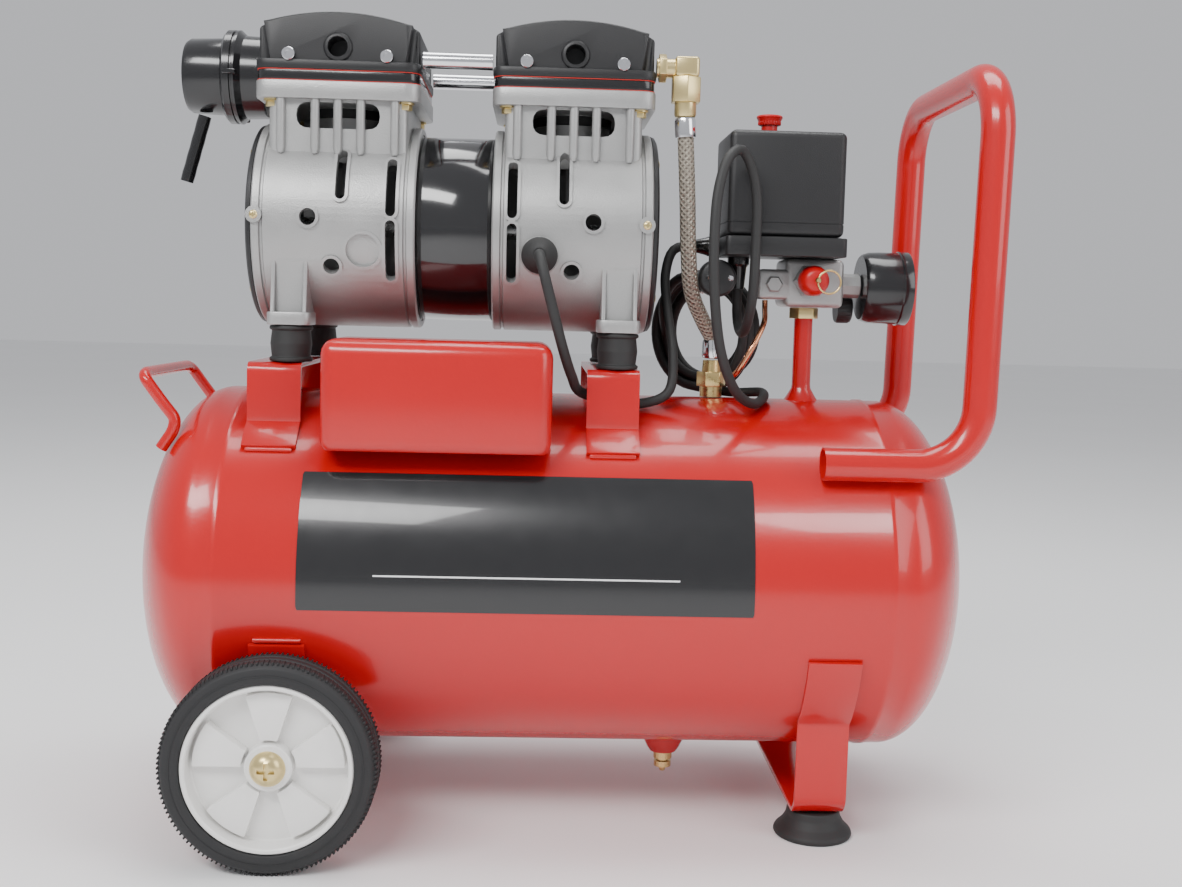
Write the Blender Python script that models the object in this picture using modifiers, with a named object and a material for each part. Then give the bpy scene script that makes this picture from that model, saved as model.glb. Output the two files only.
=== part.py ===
"""Portable oil-free air compressor: a lying tank with a two-headed pump, hoses, switch and wheels.

Metres, +Z up.  The tank lies along X, the wheels are at -X, and -Y is the side with the label.
Every sub-part is one object named after its piece; moving pieces hang on an empty on their joint's axis.
"""

import bmesh
import bpy
from math import asin, cos, degrees, pi, radians, sin, sqrt
from mathutils import Matrix, Vector

# ---------------------------------------------------------------- driving dimensions
GAP = 0.0004                    # air between two pieces that touch
FLOOR_Z = 0.004                 # heights below are drawn from a datum this far under the floor

TANK_R = 0.123                  # outer radius of the tank
TANK_Z = 0.175                  # height of the tank's axis
TANK_WALL = 0.0022
TANK_SEAM_X = 0.2165            # where the end caps are welded on
CAP_SKIRT = 0.012               # straight skirt of an end cap
CAP_DEPTH = 0.0555              # depth of its rounded part
BOSS_R = 0.0125                 # welded boss in the middle of an end cap
BOSS_LENGTH = 0.006
DRAIN_X = 0.0825                # drain boss under the tank
DRAIN_BORE = 0.0055

PUMP_X = -0.073                 # middle of the pump
PUMP_Z = 0.412                  # height of the motor shaft
CASE_R = 0.0694                 # crankcase outer radius
CASE_WALL = 0.0045
BEARING_WALL = 0.0040           # inner end wall that carries the shaft
CASE_INNER_X = 0.0252           # crankcase ends, from the middle of the pump
CASE_OUTER_X = 0.132
COVER_T = 0.0044                # fan cover thickness
BARREL_R = 0.0635
HEAD_X = 0.078                  # cylinder axes, from the middle of the pump
CRANK_R = 0.005                 # throw of the eccentrics
ECCENTRIC_R = 0.0118
SHAFT_R = 0.0060
RUNNING_FIT = 0.0001            # radial play of the shaft and of the big ends

FLANGE_SIZE = (0.109, 0.115)    # cylinder head flange in X and Y
FLANGE_Z = (0.4921, 0.5038)
JACKET_SIZE = (0.092, 0.104)
JACKET_BOTTOM = 0.440
VALVE_PLATE_Z = (0.5042, 0.5106)
HEAD_Z = (0.5110, 0.5174, 0.5400, 0.5490)   # flange foot, flange top, shoulder, crown
BORE_R = 0.0235                 # cylinder bore
LINER_R = 0.0262
PISTON_R = 0.0180

WHEEL_X = -0.176
WHEEL_R = 0.0678
WHEEL_Y = 0.1520                # outer face of each wheel
WHEEL_W = 0.0315
RIM_R = 0.0533
AXLE_Y = 0.113                  # outer faces of the axle bracket
BOLT_R = 0.0052                 # wheel bolt; the rim runs on it with 0.1 mm to spare

LEG_X = 0.1805
LEG_Y = 0.090                   # outer faces of the leg bracket
LEG_Z = 0.0228                  # underside of the leg bracket
STRIP_W = 0.035
STRIP_T = 0.003
FOOT_Y = -0.068

MOUNT_Y = 0.055                 # rubber mounts under the pump
MOUNT_R = 0.0143
BRACKET_TOP = 0.3188
BRACKET_Y = 0.0705
MOUNT_TOP = 0.3430

HANDLE_R = 0.0109               # carry handle tube
HANDLE_Y = 0.1015
HANDLE_X = 0.2715
HANDLE_TOP = 0.5165

RISER_X = 0.1741                # pipe under the pressure switch
RISER_R = 0.0066
SWITCH_X = (0.1107, 0.1902)
SWITCH_Y = (-0.050, 0.020)
SWITCH_Z = (0.3982, 0.4110, 0.4822)
KNOB_DEPTH = 0.0165             # well that the knob can be pushed into

OUTLET_BORE = 0.0042            # socket of the air outlet
OUTLET_DEPTH = 0.0200
NEEDLE_ZERO = radians(135)      # the needle rests at the lower left of its dial

HOSE_R = 0.0055
GLAND_AT = (-0.0159, -0.0698, 0.3932)   # where the motor lead leaves the right crankcase
LEAD_R = 0.0034
LEAD_END_Z = 0.4055
CORD_R = 0.0034
CORD_EXIT = (0.1255, -0.0020, 0.3755)
PLUG_AT = (0.1075, 0.0010, 0.3825)
COIL_R = 0.0375                 # mean radius of the tied coil of mains cord
COIL_HALF = 0.0110              # half of its section
COIL_AT = (0.1077, 0.0377, 0.3446)
COIL_TURN = radians(-45)


# ---------------------------------------------------------------- scene and helpers
def clear_scene():
    """Remove what the file starts with."""
    for obj in list(bpy.data.objects):
        bpy.data.objects.remove(obj, do_unlink=True)


def collection(name):
    """A new collection in the scene."""
    made = bpy.data.collections.new(name)
    bpy.context.scene.collection.children.link(made)
    return made


clear_scene()
PARTS = collection("air_compressor")
CUTTERS = collection("cutters")
FINISHES = {
    "red_paint": ((0.72, 0.012, 0.016), 0.22, 0.0),
    "cast_aluminium": ((0.60, 0.60, 0.58), 0.42, 0.85),
    "steel": ((0.55, 0.55, 0.55), 0.30, 1.0),
    "chrome": ((0.80, 0.80, 0.82), 0.08, 1.0),
    "black_gloss": ((0.010, 0.010, 0.011), 0.15, 0.0),
    "black_plastic": ((0.022, 0.022, 0.024), 0.42, 0.0),
    "black_rubber": ((0.018, 0.018, 0.018), 0.70, 0.0),
    "white_plastic": ((0.85, 0.85, 0.84), 0.35, 0.0),
    "red_plastic": ((0.75, 0.02, 0.02), 0.35, 0.0),
    "brass": ((0.72, 0.55, 0.25), 0.30, 1.0),
    "copper": ((0.75, 0.32, 0.18), 0.25, 1.0),
    "braid": ((0.42, 0.38, 0.34), 0.35, 0.9),
    "ptfe": ((0.80, 0.78, 0.72), 0.50, 0.0),
}


def finish(kind, name):
    """A material of the named kind for one piece."""
    colour, roughness, metallic = FINISHES[kind]
    mat = bpy.data.materials.new(name + "_" + kind)
    mat.use_nodes = True
    shader = mat.node_tree.nodes["Principled BSDF"]
    shader.inputs["Base Color"].default_value = (*colour, 1.0)
    shader.inputs["Roughness"].default_value = roughness
    shader.inputs["Metallic"].default_value = metallic
    mat.diffuse_color = (*colour, 1.0)
    return mat


def put(name, data, kind=None, at=(0, 0, 0), turn=(0, 0, 0), parent=None):
    """Make a named object of a mesh or curve; without a finish it is a cutter."""
    obj = bpy.data.objects.new(name, data)
    if kind:
        PARTS.objects.link(obj)
        data.materials.append(finish(kind, name))
    else:
        CUTTERS.objects.link(obj)
        obj.hide_render = True
        obj.display_type = "WIRE"
    obj.parent = parent
    obj.location = at
    obj.rotation_euler = turn
    return obj


def pivot(name, at):
    """An empty on a joint's axis."""
    obj = bpy.data.objects.new(name, None)
    PARTS.objects.link(obj)
    obj.location = at
    return obj


def mesh_of(bm, name):
    """Turn a bmesh into mesh data with smooth sides and sharp edges."""
    mesh = bpy.data.meshes.new(name)
    bm.to_mesh(mesh)
    bm.free()
    mesh.shade_smooth()
    mesh.set_sharp_from_angle(angle=radians(35))
    return mesh


def box(name, low, high, bevel=0.0, segments=2, edges="all"):
    """A box between two corners; its edges (all, or those along one axis) may be rounded."""
    bm = bmesh.new()
    bmesh.ops.create_cube(bm, size=1.0)
    size = [high[i] - low[i] for i in range(3)]
    middle = [(high[i] + low[i]) / 2 for i in range(3)]
    bmesh.ops.scale(bm, vec=size, verts=bm.verts)
    if bevel:
        chosen = bm.edges[:]
        if edges in "XYZ":
            axis = "XYZ".index(edges)
            chosen = [e for e in bm.edges
                      if abs(e.verts[0].co[axis] - e.verts[1].co[axis]) > 0.5 * size[axis]]
        bmesh.ops.bevel(bm, geom=chosen, offset=bevel, segments=segments, affect="EDGES", profile=0.5)
    bmesh.ops.translate(bm, vec=middle, verts=bm.verts)
    return mesh_of(bm, name)


TURNS = {"X": (0, pi / 2, 0), "-X": (0, -pi / 2, 0), "Y": (-pi / 2, 0, 0), "-Y": (pi / 2, 0, 0),
         "Z": (0, 0, 0), "-Z": (pi, 0, 0)}


def cylinder(name, radius, length, sides=32, end_radius=None, phase=0.0):
    """A cylinder or cone that stands on its base at the origin and rises along +Z."""
    bm = bmesh.new()
    top = radius if end_radius is None else end_radius
    bmesh.ops.create_cone(bm, cap_ends=True, segments=sides, radius1=radius, radius2=top, depth=length)
    bmesh.ops.rotate(bm, cent=(0, 0, 0), matrix=Matrix.Rotation(phase, 3, "Z"), verts=bm.verts)
    bmesh.ops.translate(bm, vec=(0, 0, length / 2), verts=bm.verts)
    return mesh_of(bm, name)


def turned(name, kind, profile, at, axis="Z", steps=40, parent=None):
    """A turned piece: (radius, height) pairs from the top, down the outer side, closed or on the axis."""
    bm = bmesh.new()
    verts = [bm.verts.new((r, 0, h)) for r, h in profile]
    pairs = list(zip(verts, verts[1:]))
    if profile[0][0] > 0:
        pairs.append((verts[-1], verts[0]))
    for a, b in pairs:
        bm.edges.new((a, b))
    obj = put(name, mesh_of(bm, name), kind, at, TURNS[axis], parent)
    screw = obj.modifiers.new("turn", "SCREW")
    screw.steps = steps
    screw.render_steps = steps
    screw.use_merge_vertices = True
    screw.merge_threshold = 0.00001
    return obj


def boolean(obj, cutter, operation="DIFFERENCE"):
    """Cut, join or cross a piece with another mesh object."""
    mod = obj.modifiers.new(operation.lower(), "BOOLEAN")
    mod.operation = operation
    mod.object = cutter
    mod.solver = "EXACT"


def cut(obj, data, at=(0, 0, 0), turn=(0, 0, 0), operation="DIFFERENCE"):
    """Boolean a piece with mesh data placed in the world, or beside the piece under its parent."""
    boolean(obj, put("tool_" + data.name, data, None, at, turn, obj.parent), operation)


def join(obj, data, at=(0, 0, 0), turn=(0, 0, 0)):
    """Add mesh data to a piece as one body."""
    cut(obj, data, at, turn, "UNION")


def smooth_path(points, spacing):
    """Even points on a smooth curve (centripetal Catmull-Rom) through the route's own points."""
    route = [Vector(p) for p in points]
    route = [2 * route[0] - route[1]] + route + [2 * route[-1] - route[-2]]
    dense = []
    for i in range(1, len(route) - 2):
        p0, p1, p2, p3 = route[i - 1:i + 3]
        t1 = sqrt((p1 - p0).length)
        t2 = t1 + sqrt((p2 - p1).length)
        t3 = t2 + sqrt((p3 - p2).length)
        for k in range(24):
            t = t1 + (t2 - t1) * k / 24
            a1 = p0 * ((t1 - t) / t1) + p1 * (t / t1)
            a2 = p1 * ((t2 - t) / (t2 - t1)) + p2 * ((t - t1) / (t2 - t1))
            a3 = p2 * ((t3 - t) / (t3 - t2)) + p3 * ((t - t2) / (t3 - t2))
            b1 = a1 * ((t2 - t) / t2) + a2 * (t / t2)
            b2 = a2 * ((t3 - t) / (t3 - t1)) + a3 * ((t - t1) / (t3 - t1))
            dense.append(b1 * ((t2 - t) / (t2 - t1)) + b2 * ((t - t1) / (t2 - t1)))
    dense.append(route[-2])
    lengths = [0.0]
    for a, b in zip(dense, dense[1:]):
        lengths.append(lengths[-1] + (b - a).length)
    count = max(2, round(lengths[-1] / spacing))
    even, j = [], 0
    for k in range(count + 1):
        s = lengths[-1] * k / count
        while j < len(lengths) - 2 and lengths[j + 1] < s:
            j += 1
        f = (s - lengths[j]) / (lengths[j + 1] - lengths[j])
        even.append(dense[j].lerp(dense[j + 1], min(1.0, f)))
    return even


def tube(name, kind, points, radius, spacing=None, resolution=2, parent=None):
    """A round tube, wire or hose along a smooth route; without a spacing the route's points are kept."""
    data = bpy.data.curves.new(name, "CURVE")
    data.dimensions = "3D"
    data.bevel_depth = radius
    data.bevel_resolution = resolution
    data.use_fill_caps = True
    route = smooth_path(points, spacing) if spacing else points
    spline = data.splines.new("POLY")
    spline.points.add(len(route) - 1)
    for point, place in zip(spline.points, route):
        point.co = (*place, 1.0)
    return put(name, data, kind, parent=parent)


def arc(centre, radius, start, end, steps):
    """Points on an arc in a plane of two coordinates, angles in degrees."""
    return [(centre[0] + radius * cos(radians(start + (end - start) * k / steps)),
             centre[1] + radius * sin(radians(start + (end - start) * k / steps)))
            for k in range(steps + 1)]


def strip(name, path, x, width=STRIP_W, thickness=STRIP_T):
    """A bent strip of plate: a path of (y, z) on its inner side, swept along X and given a thickness."""
    bm = bmesh.new()
    rows = [[bm.verts.new((x + side * width / 2, y, z)) for side in (-1, 1)] for y, z in path]
    for a, b in zip(rows, rows[1:]):
        bm.faces.new((a[0], a[1], b[1], b[0]))
    obj = put(name, mesh_of(bm, name), "red_paint")
    solid = obj.modifiers.new("plate", "SOLIDIFY")
    solid.thickness = thickness
    solid.offset = 1.0
    solid.use_even_offset = True
    return obj


def tank_z(y, extra=0.0):
    """Height of the tank's upper surface, or one a little outside it, at a place across it."""
    return TANK_Z + sqrt((TANK_R + extra) ** 2 - y * y)


def cap_radius(x):
    """Radius of the tank at a place along it."""
    past = abs(x) - TANK_SEAM_X - CAP_SKIRT
    return TANK_R if past <= 0 else TANK_R * sqrt(max(0.0, 1 - (past / CAP_DEPTH) ** 2))


# ---------------------------------------------------------------- tank
def tank():
    """The welded tank: a hollow drum with rounded end caps and bosses, open at its drain boss."""
    def cap(radius, depth, end):
        return [(radius * sin(radians(a)), end + depth * cos(radians(a))) for a in range(0, 91, 15)]

    straight = TANK_SEAM_X + CAP_SKIRT
    end = straight + CAP_DEPTH
    outer = cap(TANK_R, CAP_DEPTH, straight)
    outer[0:1] = [(0.0, end + BOSS_LENGTH), (BOSS_R, end + BOSS_LENGTH), (BOSS_R, end - 0.0008)]
    body = turned("tank_shell", "red_paint", outer + [(r, -h) for r, h in reversed(outer)], (0, 0, TANK_Z),
                  "X", 44)
    low = TANK_Z - TANK_R
    join(body, cylinder("drain_boss", 0.0095, 0.0150, 20, end_radius=0.0165), (DRAIN_X, 0, low - 0.0135))
    inner = cap(TANK_R - TANK_WALL, CAP_DEPTH - TANK_WALL, straight)
    hollow = turned("tank_hollow", None, inner + [(r, -h) for r, h in reversed(inner)], (0, 0, TANK_Z), "X", 22)
    boolean(body, hollow)
    cut(body, cylinder("drain_bore", DRAIN_BORE, 0.040, 14), (DRAIN_X, 0, low - 0.020))
    riser = turned("tool_riser", None,
                   [(0, 0.3636), (RISER_R, 0.3636), (RISER_R, 0.3060), (0.0105, 0.3000), (0.0125, 0.2972),
                    (0, 0.2960)], (RISER_X, 0, 0), "Z", 20)
    boolean(body, riser, "UNION")


def drain():
    """The drain valve screwed into its boss, with its thumb screw."""
    low = TANK_Z - TANK_R - 0.0135
    turned("drain_valve", "brass",
           [(0, 0.0120), (DRAIN_BORE - GAP, 0.0120), (DRAIN_BORE - GAP, -GAP), (0.0068, -GAP),
            (0.0068, -0.0058),
            (0.0045, -0.0058), (0.0045, -0.0074), (0, -0.0074)], (DRAIN_X, 0, low), "Z", 18)
    hinge = pivot("drain_screw_axis", (DRAIN_X, 0, low - 0.0078))
    turned("drain_screw", "brass", [(0, 0), (0.0062, 0), (0.0062, -0.0040), (0.0030, -0.0050),
                                    (0.0018, -0.0078),
                                    (0, -0.0078)], (0, 0, 0), "Z", 18, hinge)


# ---------------------------------------------------------------- brackets, foot and wheels
def hug(start, end, steps, extra=GAP):
    """(y, z) points that follow the tank's front from one angle to another, degrees above horizontal."""
    r = TANK_R + extra
    return [(-r * cos(radians(start + (end - start) * k / steps)),
             TANK_Z + r * sin(radians(start + (end - start) * k / steps))) for k in range(steps + 1)]


def both_sides(half):
    """A front half path joined to its mirror image, so that a strip runs under or over the tank."""
    return half + [(-y, z) for y, z in reversed(half)]


def brackets():
    """Pump brackets over the tank, the leg bracket and the axle bracket under it."""
    top_angle = degrees(asin((0.2635 - TANK_Z) / TANK_R))
    knee = degrees(asin((tank_z(BRACKET_Y - 0.004) - TANK_Z) / TANK_R))
    inside = STRIP_T
    for side, x in (("left", -0.1885), ("right", 0.0352)):
        half = hug(top_angle, knee, 3) + [(-BRACKET_Y + inside, tank_z(BRACKET_Y) + 0.006),
                                          (-BRACKET_Y + inside, BRACKET_TOP - inside)]
        strip("pump_bracket_" + side, both_sides(half), x)
    lower = degrees(asin((0.137 - TANK_Z) / TANK_R))
    knee = -degrees(asin(sqrt(TANK_R ** 2 - (LEG_Y - inside) ** 2) / TANK_R))
    half = hug(lower, knee, 5) + [(-LEG_Y + inside, LEG_Z + 0.010), (-LEG_Y + 0.010, LEG_Z + inside)]
    leg = strip("leg_bracket", both_sides(half), LEG_X)
    leg.modifiers["plate"].offset = -1.0
    axle_y, axle_z = AXLE_Y, 0.0480
    knee = -degrees(asin(sqrt(TANK_R ** 2 - (axle_y - inside) ** 2) / TANK_R))
    weld = degrees(asin((0.1435 - TANK_Z) / TANK_R))
    half = hug(weld, knee, 3) + [(-axle_y + inside, axle_z + 0.008), (-axle_y + 0.010, axle_z + inside)]
    axle = strip("axle_bracket", both_sides(half), WHEEL_X)
    axle.modifiers["plate"].offset = -1.0
    cut(axle, cylinder("axle_hole", BOLT_R + GAP, 0.3, 24), (WHEEL_X, 0.15, FLOOR_Z + WHEEL_R), TURNS["-Y"])
    turned("rubber_foot", "black_rubber",
           [(0, 0), (0.0178, 0), (0.0186, -0.0050), (0.0215, -0.0100), (0.0262, -0.0145), (0.0268, -0.0168),
            (0.0258, FLOOR_Z - LEG_Z + GAP), (0, FLOOR_Z - LEG_Z + GAP)], (LEG_X, FOOT_Y, LEG_Z - GAP), "Z", 26)


def wheel(side, sign):
    """A wheel: rubber tyre, plastic rim and the bolt that it turns on."""
    hub = pivot("wheel_" + side + "_axis", (WHEEL_X, sign * (WHEEL_Y - WHEEL_W), FLOOR_Z + WHEEL_R))
    out = "Y" if sign > 0 else "-Y"
    turned("tyre_" + side, "black_rubber",
           [(RIM_R + GAP, WHEEL_W - 0.0005), (0.0640, WHEEL_W), (WHEEL_R, WHEEL_W - 0.007),
            (WHEEL_R, 0.007), (0.0640, 0.0), (RIM_R + GAP, 0.0005)],
           (0, 0, 0), out, 40, hub)
    turned("rim_" + side, "white_plastic",
           [(BOLT_R + 0.0001, WHEEL_W - 0.006), (0.0145, WHEEL_W - 0.006), (0.0145, WHEEL_W - 0.011),
            (0.0490, WHEEL_W - 0.011), (0.0500, WHEEL_W - 0.002), (RIM_R, WHEEL_W - 0.002),
            (RIM_R, 0.002), (0.0490, 0.002), (0.0480, 0.012), (0.0145, 0.012), (BOLT_R + 0.0001, 0.002)],
           (0, 0, 0), out, 30, hub)
    head = WHEEL_W - 0.006 + GAP
    nut = AXLE_Y - STRIP_T - GAP - (WHEEL_Y - WHEEL_W)
    turned("wheel_bolt_" + side, "brass",
           [(0, head + 0.0075), (0.0055, head + 0.0065), (0.0098, head + 0.0030), (0.0112, head),
            (BOLT_R, head),
            (BOLT_R, nut), (0.0085, nut), (0.0085, nut - 0.0050), (0, nut - 0.0050)],
           (WHEEL_X, sign * (WHEEL_Y - WHEEL_W), FLOOR_Z + WHEEL_R), out, 20)


def handles():
    """The carry handle on the right and the tow handle on the left cap."""
    z_low = TANK_Z + sqrt((TANK_R + HANDLE_R + GAP) ** 2 - HANDLE_Y ** 2)
    bend = 0.040
    foot_x = 0.1705
    lower = [(foot_x, z_low), (0.200, z_low)]
    lower += arc((HANDLE_X - bend, z_low + bend), bend, -90, 0, 8)
    side = [(x, -HANDLE_Y, z) for x, z in lower]
    upper = arc((-HANDLE_Y + bend, HANDLE_TOP - bend), bend, 180, 90, 8)
    side += [(HANDLE_X + 0.003, y, z) for y, z in upper]
    route = side + [(x, -y, z) for x, y, z in reversed(side)]
    tube("carry_handle", "red_paint", route, HANDLE_R)
    rod = 0.004
    half = 0.062

    def on_cap(x):
        past = (abs(x) - TANK_SEAM_X - CAP_SKIRT) / CAP_DEPTH
        slope = TANK_R / CAP_DEPTH * past / sqrt(1 - past * past)
        away = (rod + 0.0009) * sqrt(1 + slope * slope)
        return TANK_Z + sqrt((cap_radius(x) + away) ** 2 - half ** 2)
    side = [(-0.2640, -half, on_cap(-0.2640)), (-0.2560, -half, on_cap(-0.2560)),
            (-0.2545, -half, on_cap(-0.2545) + 0.0060), (-0.2630, -half, 0.2900), (-0.2735, -half, 0.3045),
            (-0.2755, -half + 0.003, 0.3075), (-0.2765, -half + 0.009, 0.3090)]
    route = side + [(x, -y, z) for x, y, z in reversed(side)]
    tube("tow_handle", "red_paint", route, rod, resolution=2)


# ---------------------------------------------------------------- pump
def crankcase(side, sign):
    """A cast half of the pump: drum, cylinder jacket with windows, flange, ribs and legs."""
    name = "crankcase_" + side
    x_in, x_out = PUMP_X + sign * CASE_INNER_X, PUMP_X + sign * CASE_OUTER_X
    low, high = min(x_in, x_out), max(x_in, x_out)
    head = PUMP_X + sign * HEAD_X
    case = put(name, cylinder(name, CASE_R, high - low, 44), "cast_aluminium", (low, 0, PUMP_Z), TURNS["X"])
    case.location = (0, 0, 0)
    case.rotation_euler = (0, 0, 0)
    case.data.transform(Matrix.Translation((low, 0, PUMP_Z)) @ Matrix.Rotation(pi / 2, 4, "Y"))
    jx, jy = JACKET_SIZE[0] / 2, JACKET_SIZE[1] / 2
    join(case, box("jacket", (head - jx, -jy, JACKET_BOTTOM), (head + jx, jy, FLANGE_Z[0] + 0.003), 0.004, 1,
                   "Z"))
    fx, fy = FLANGE_SIZE[0] / 2, FLANGE_SIZE[1] / 2
    join(case, box("flange", (head - fx, -fy, FLANGE_Z[0]), (head + fx, fy, FLANGE_Z[1]), 0.008, 3, "Z"))
    for y in (-MOUNT_Y, MOUNT_Y):
        leg_x = -0.1800 if sign < 0 else 0.0378
        join(case, box("leg", (leg_x - 0.0140, y - 0.0140, MOUNT_TOP + GAP),
                       (leg_x + 0.0140, y + 0.0140, 0.385),
                       0.003, 1, "Z"))
    for offset in (-0.0375, -0.0150, 0.0, 0.0150, 0.0375):
        for near, far in ((-jy - 0.0045, -jy + 0.002), (jy - 0.002, jy + 0.0045)):
            join(case, box("rib", (head + offset - 0.0015, near, 0.4590),
                           (head + offset + 0.0015, far, FLANGE_Z[0] + 0.002)))
    hollow = cylinder("drum_hollow", CASE_R - CASE_WALL, high - low + 0.02, 32)
    cut(case, hollow, (low - 0.01, 0, PUMP_Z), TURNS["X"])
    wall = min(x_in + sign * 0.0006, x_in + sign * (0.0006 + BEARING_WALL))
    join(case, cylinder("bearing_wall", CASE_R - 0.002, BEARING_WALL, 32), (wall, 0, PUMP_Z), TURNS["X"])
    cut(case, cylinder("bearing", SHAFT_R + RUNNING_FIT, 3 * BEARING_WALL, 24),
        (wall - BEARING_WALL, 0, PUMP_Z),
        TURNS["X"])
    cut(case, box("jacket_hollow", (head - jx + 0.004, -jy + 0.004, PUMP_Z),
                  (head + jx - 0.004, jy - 0.004, FLANGE_Z[0] - 0.001)))
    cut(case, box("window", (head - 0.0275, -0.2, 0.4735), (head + 0.0275, 0.2, 0.4905), 0.007, 2, "Y"))
    join(case, cylinder("liner", LINER_R, FLANGE_Z[1] - 0.4540, 28), (head, 0, 0.4540))
    cut(case, cylinder("bore", BORE_R, 0.2, 28), (head, 0, 0.45))
    if sign > 0:
        join(case, cylinder("gland_boss", 0.0128, 0.0060, 24), (GLAND_AT[0], GLAND_AT[1] + 0.0060, GLAND_AT[2]),
             TURNS["-Y"])
    vents = case_vents(side, sign, head)
    for x, a0, a1, width in vents:
        middle = radians((a0 + a1) / 2)
        chord = 2 * CASE_R * sin(radians(abs(a1 - a0)) / 2) + width
        slot = box("vent", (-width / 2, -chord / 2, -0.012), (width / 2, chord / 2, 0.012), width * 0.49, 2,
                   "Z")
        place = (x, -CASE_R * cos(middle), PUMP_Z + CASE_R * sin(middle))
        cut(case, slot, place, (pi / 2 - middle, 0, 0))
    return case


def case_vents(side, sign, head):
    """(x, lower angle, upper angle, width) of the slots and round holes in the front of a crankcase."""
    inner = PUMP_X + sign * (CASE_INNER_X + 0.0150)
    slots = [(inner, 6.5, 34.0, 0.0066), (inner, -29.0, -2.0, 0.0066),
             (head + (0.0035 if sign < 0 else -0.0050),
             15.0, 40.0, 0.0066)]
    if sign < 0:
        holes = [(-0.1676, 2.0, 2.0, 0.0106), (-0.1527, -24.6, -24.6, 0.0106)]
    else:
        holes = [(0.0191, 3.1, 3.1, 0.0106), (0.0055, -24.3, -24.3, 0.0106)]
    return slots + holes


def head_pieces(side, sign):
    """Liner, valve plate and black head cover of one cylinder."""
    head = PUMP_X + sign * HEAD_X
    fx, fy = FLANGE_SIZE[0] / 2, FLANGE_SIZE[1] / 2
    put("valve_plate_" + side, box("valve_plate_" + side, (head - fx + 0.001, -fy + 0.001, VALVE_PLATE_Z[0]),
                                   (head + fx - 0.001, fy - 0.001, VALVE_PLATE_Z[1]), 0.007, 3, "Z"),
        "black_gloss")
    outline = [(-fx, HEAD_Z[0]), (fx, HEAD_Z[0]), (fx, HEAD_Z[2] - 0.004)]
    outline += arc((fx - 0.006, HEAD_Z[2] - 0.006), 0.006, 10, 70, 3)
    crown = [(fx * k / 5, HEAD_Z[3] - (HEAD_Z[3] - HEAD_Z[2]) * (k / 5) ** 2 * 1.15) for k in (4, 3, 2, 1, 0)]
    right = outline[1:] + crown
    full = [(-x, z) for x, z in reversed(right)][1:]
    bm = bmesh.new()
    front = [bm.verts.new((head + x, -fy, z)) for x, z in right + full]
    face = bm.faces.new(front)
    made = bmesh.ops.extrude_face_region(bm, geom=[face])
    rear = [v for v in made["geom"] if isinstance(v, bmesh.types.BMVert)]
    bmesh.ops.translate(bm, vec=(0, 2 * fy, 0), verts=rear)
    bmesh.ops.recalc_face_normals(bm, faces=bm.faces)
    cover = put("head_cover_" + side, mesh_of(bm, "head_cover_" + side), "black_plastic")
    cut(cover, cylinder("port", 0.0068, 0.020, 24), (head, -fy - 0.002, 0.5260), TURNS["Y"])
    return cover


def motor_leg_mounts():
    """Four rubber mounts between the pump brackets and the crankcase legs."""
    for side, x in (("left", -0.1800), ("right", 0.0378)):
        for row, y in (("front", -MOUNT_Y), ("rear", MOUNT_Y)):
            turned("rubber_mount_" + row + "_" + side, "black_rubber",
                   [(0, MOUNT_TOP), (MOUNT_R, MOUNT_TOP), (MOUNT_R, BRACKET_TOP + GAP), (0, BRACKET_TOP + GAP)],
                   (x, y, 0), "Z", 20)


def pump():
    """Both crankcases and everything bolted to them, and what turns inside."""
    for side, sign in (("left", -1), ("right", 1)):
        crankcase(side, sign)
        head_pieces(side, sign)
        outer = PUMP_X + sign * (CASE_OUTER_X + GAP)
        grip = "-X" if sign < 0 else "X"
        turned("fan_cover_" + side, "black_plastic",
               [(0.0180, COVER_T - 0.0010), (0.0600, COVER_T), (0.0665, COVER_T - 0.0010), (0.0685, 0.0),
                (0.0180, 0.0)], (outer, 0, PUMP_Z), grip, 32)
    motor_leg_mounts()
    half = CASE_INNER_X - GAP
    turned("motor_stator", "black_gloss",
           [(BARREL_R - 0.0022, half), (BARREL_R, half), (BARREL_R, -half), (BARREL_R - 0.0022, -half),
            (BARREL_R - 0.0022, -0.0220), (0.0335, -0.0220), (0.0335, 0.0220), (BARREL_R - 0.0022, 0.0220)],
           (PUMP_X, 0, PUMP_Z), "X", 36)
    for row, y in (("front", -0.043), ("rear", 0.043)):
        length = HEAD_X - FLANGE_SIZE[0] / 2 - GAP
        turned("transfer_tube_" + row, "chrome",
               [(0, length), (0.0056, length), (0.0056, -length), (0, -length)], (PUMP_X, y, 0.5213), "X", 24)
    moving_parts()
    intake()
    discharge()
    turned("cable_gland", "black_rubber",
           [(0, 0.0150), (0.0052, 0.0150), (0.0095, 0.0110), (0.0118, 0.0040), (0.0120, 0), (0, 0)],
           (GLAND_AT[0], GLAND_AT[1] - GAP, GLAND_AT[2]), "-Y", 24)


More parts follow.
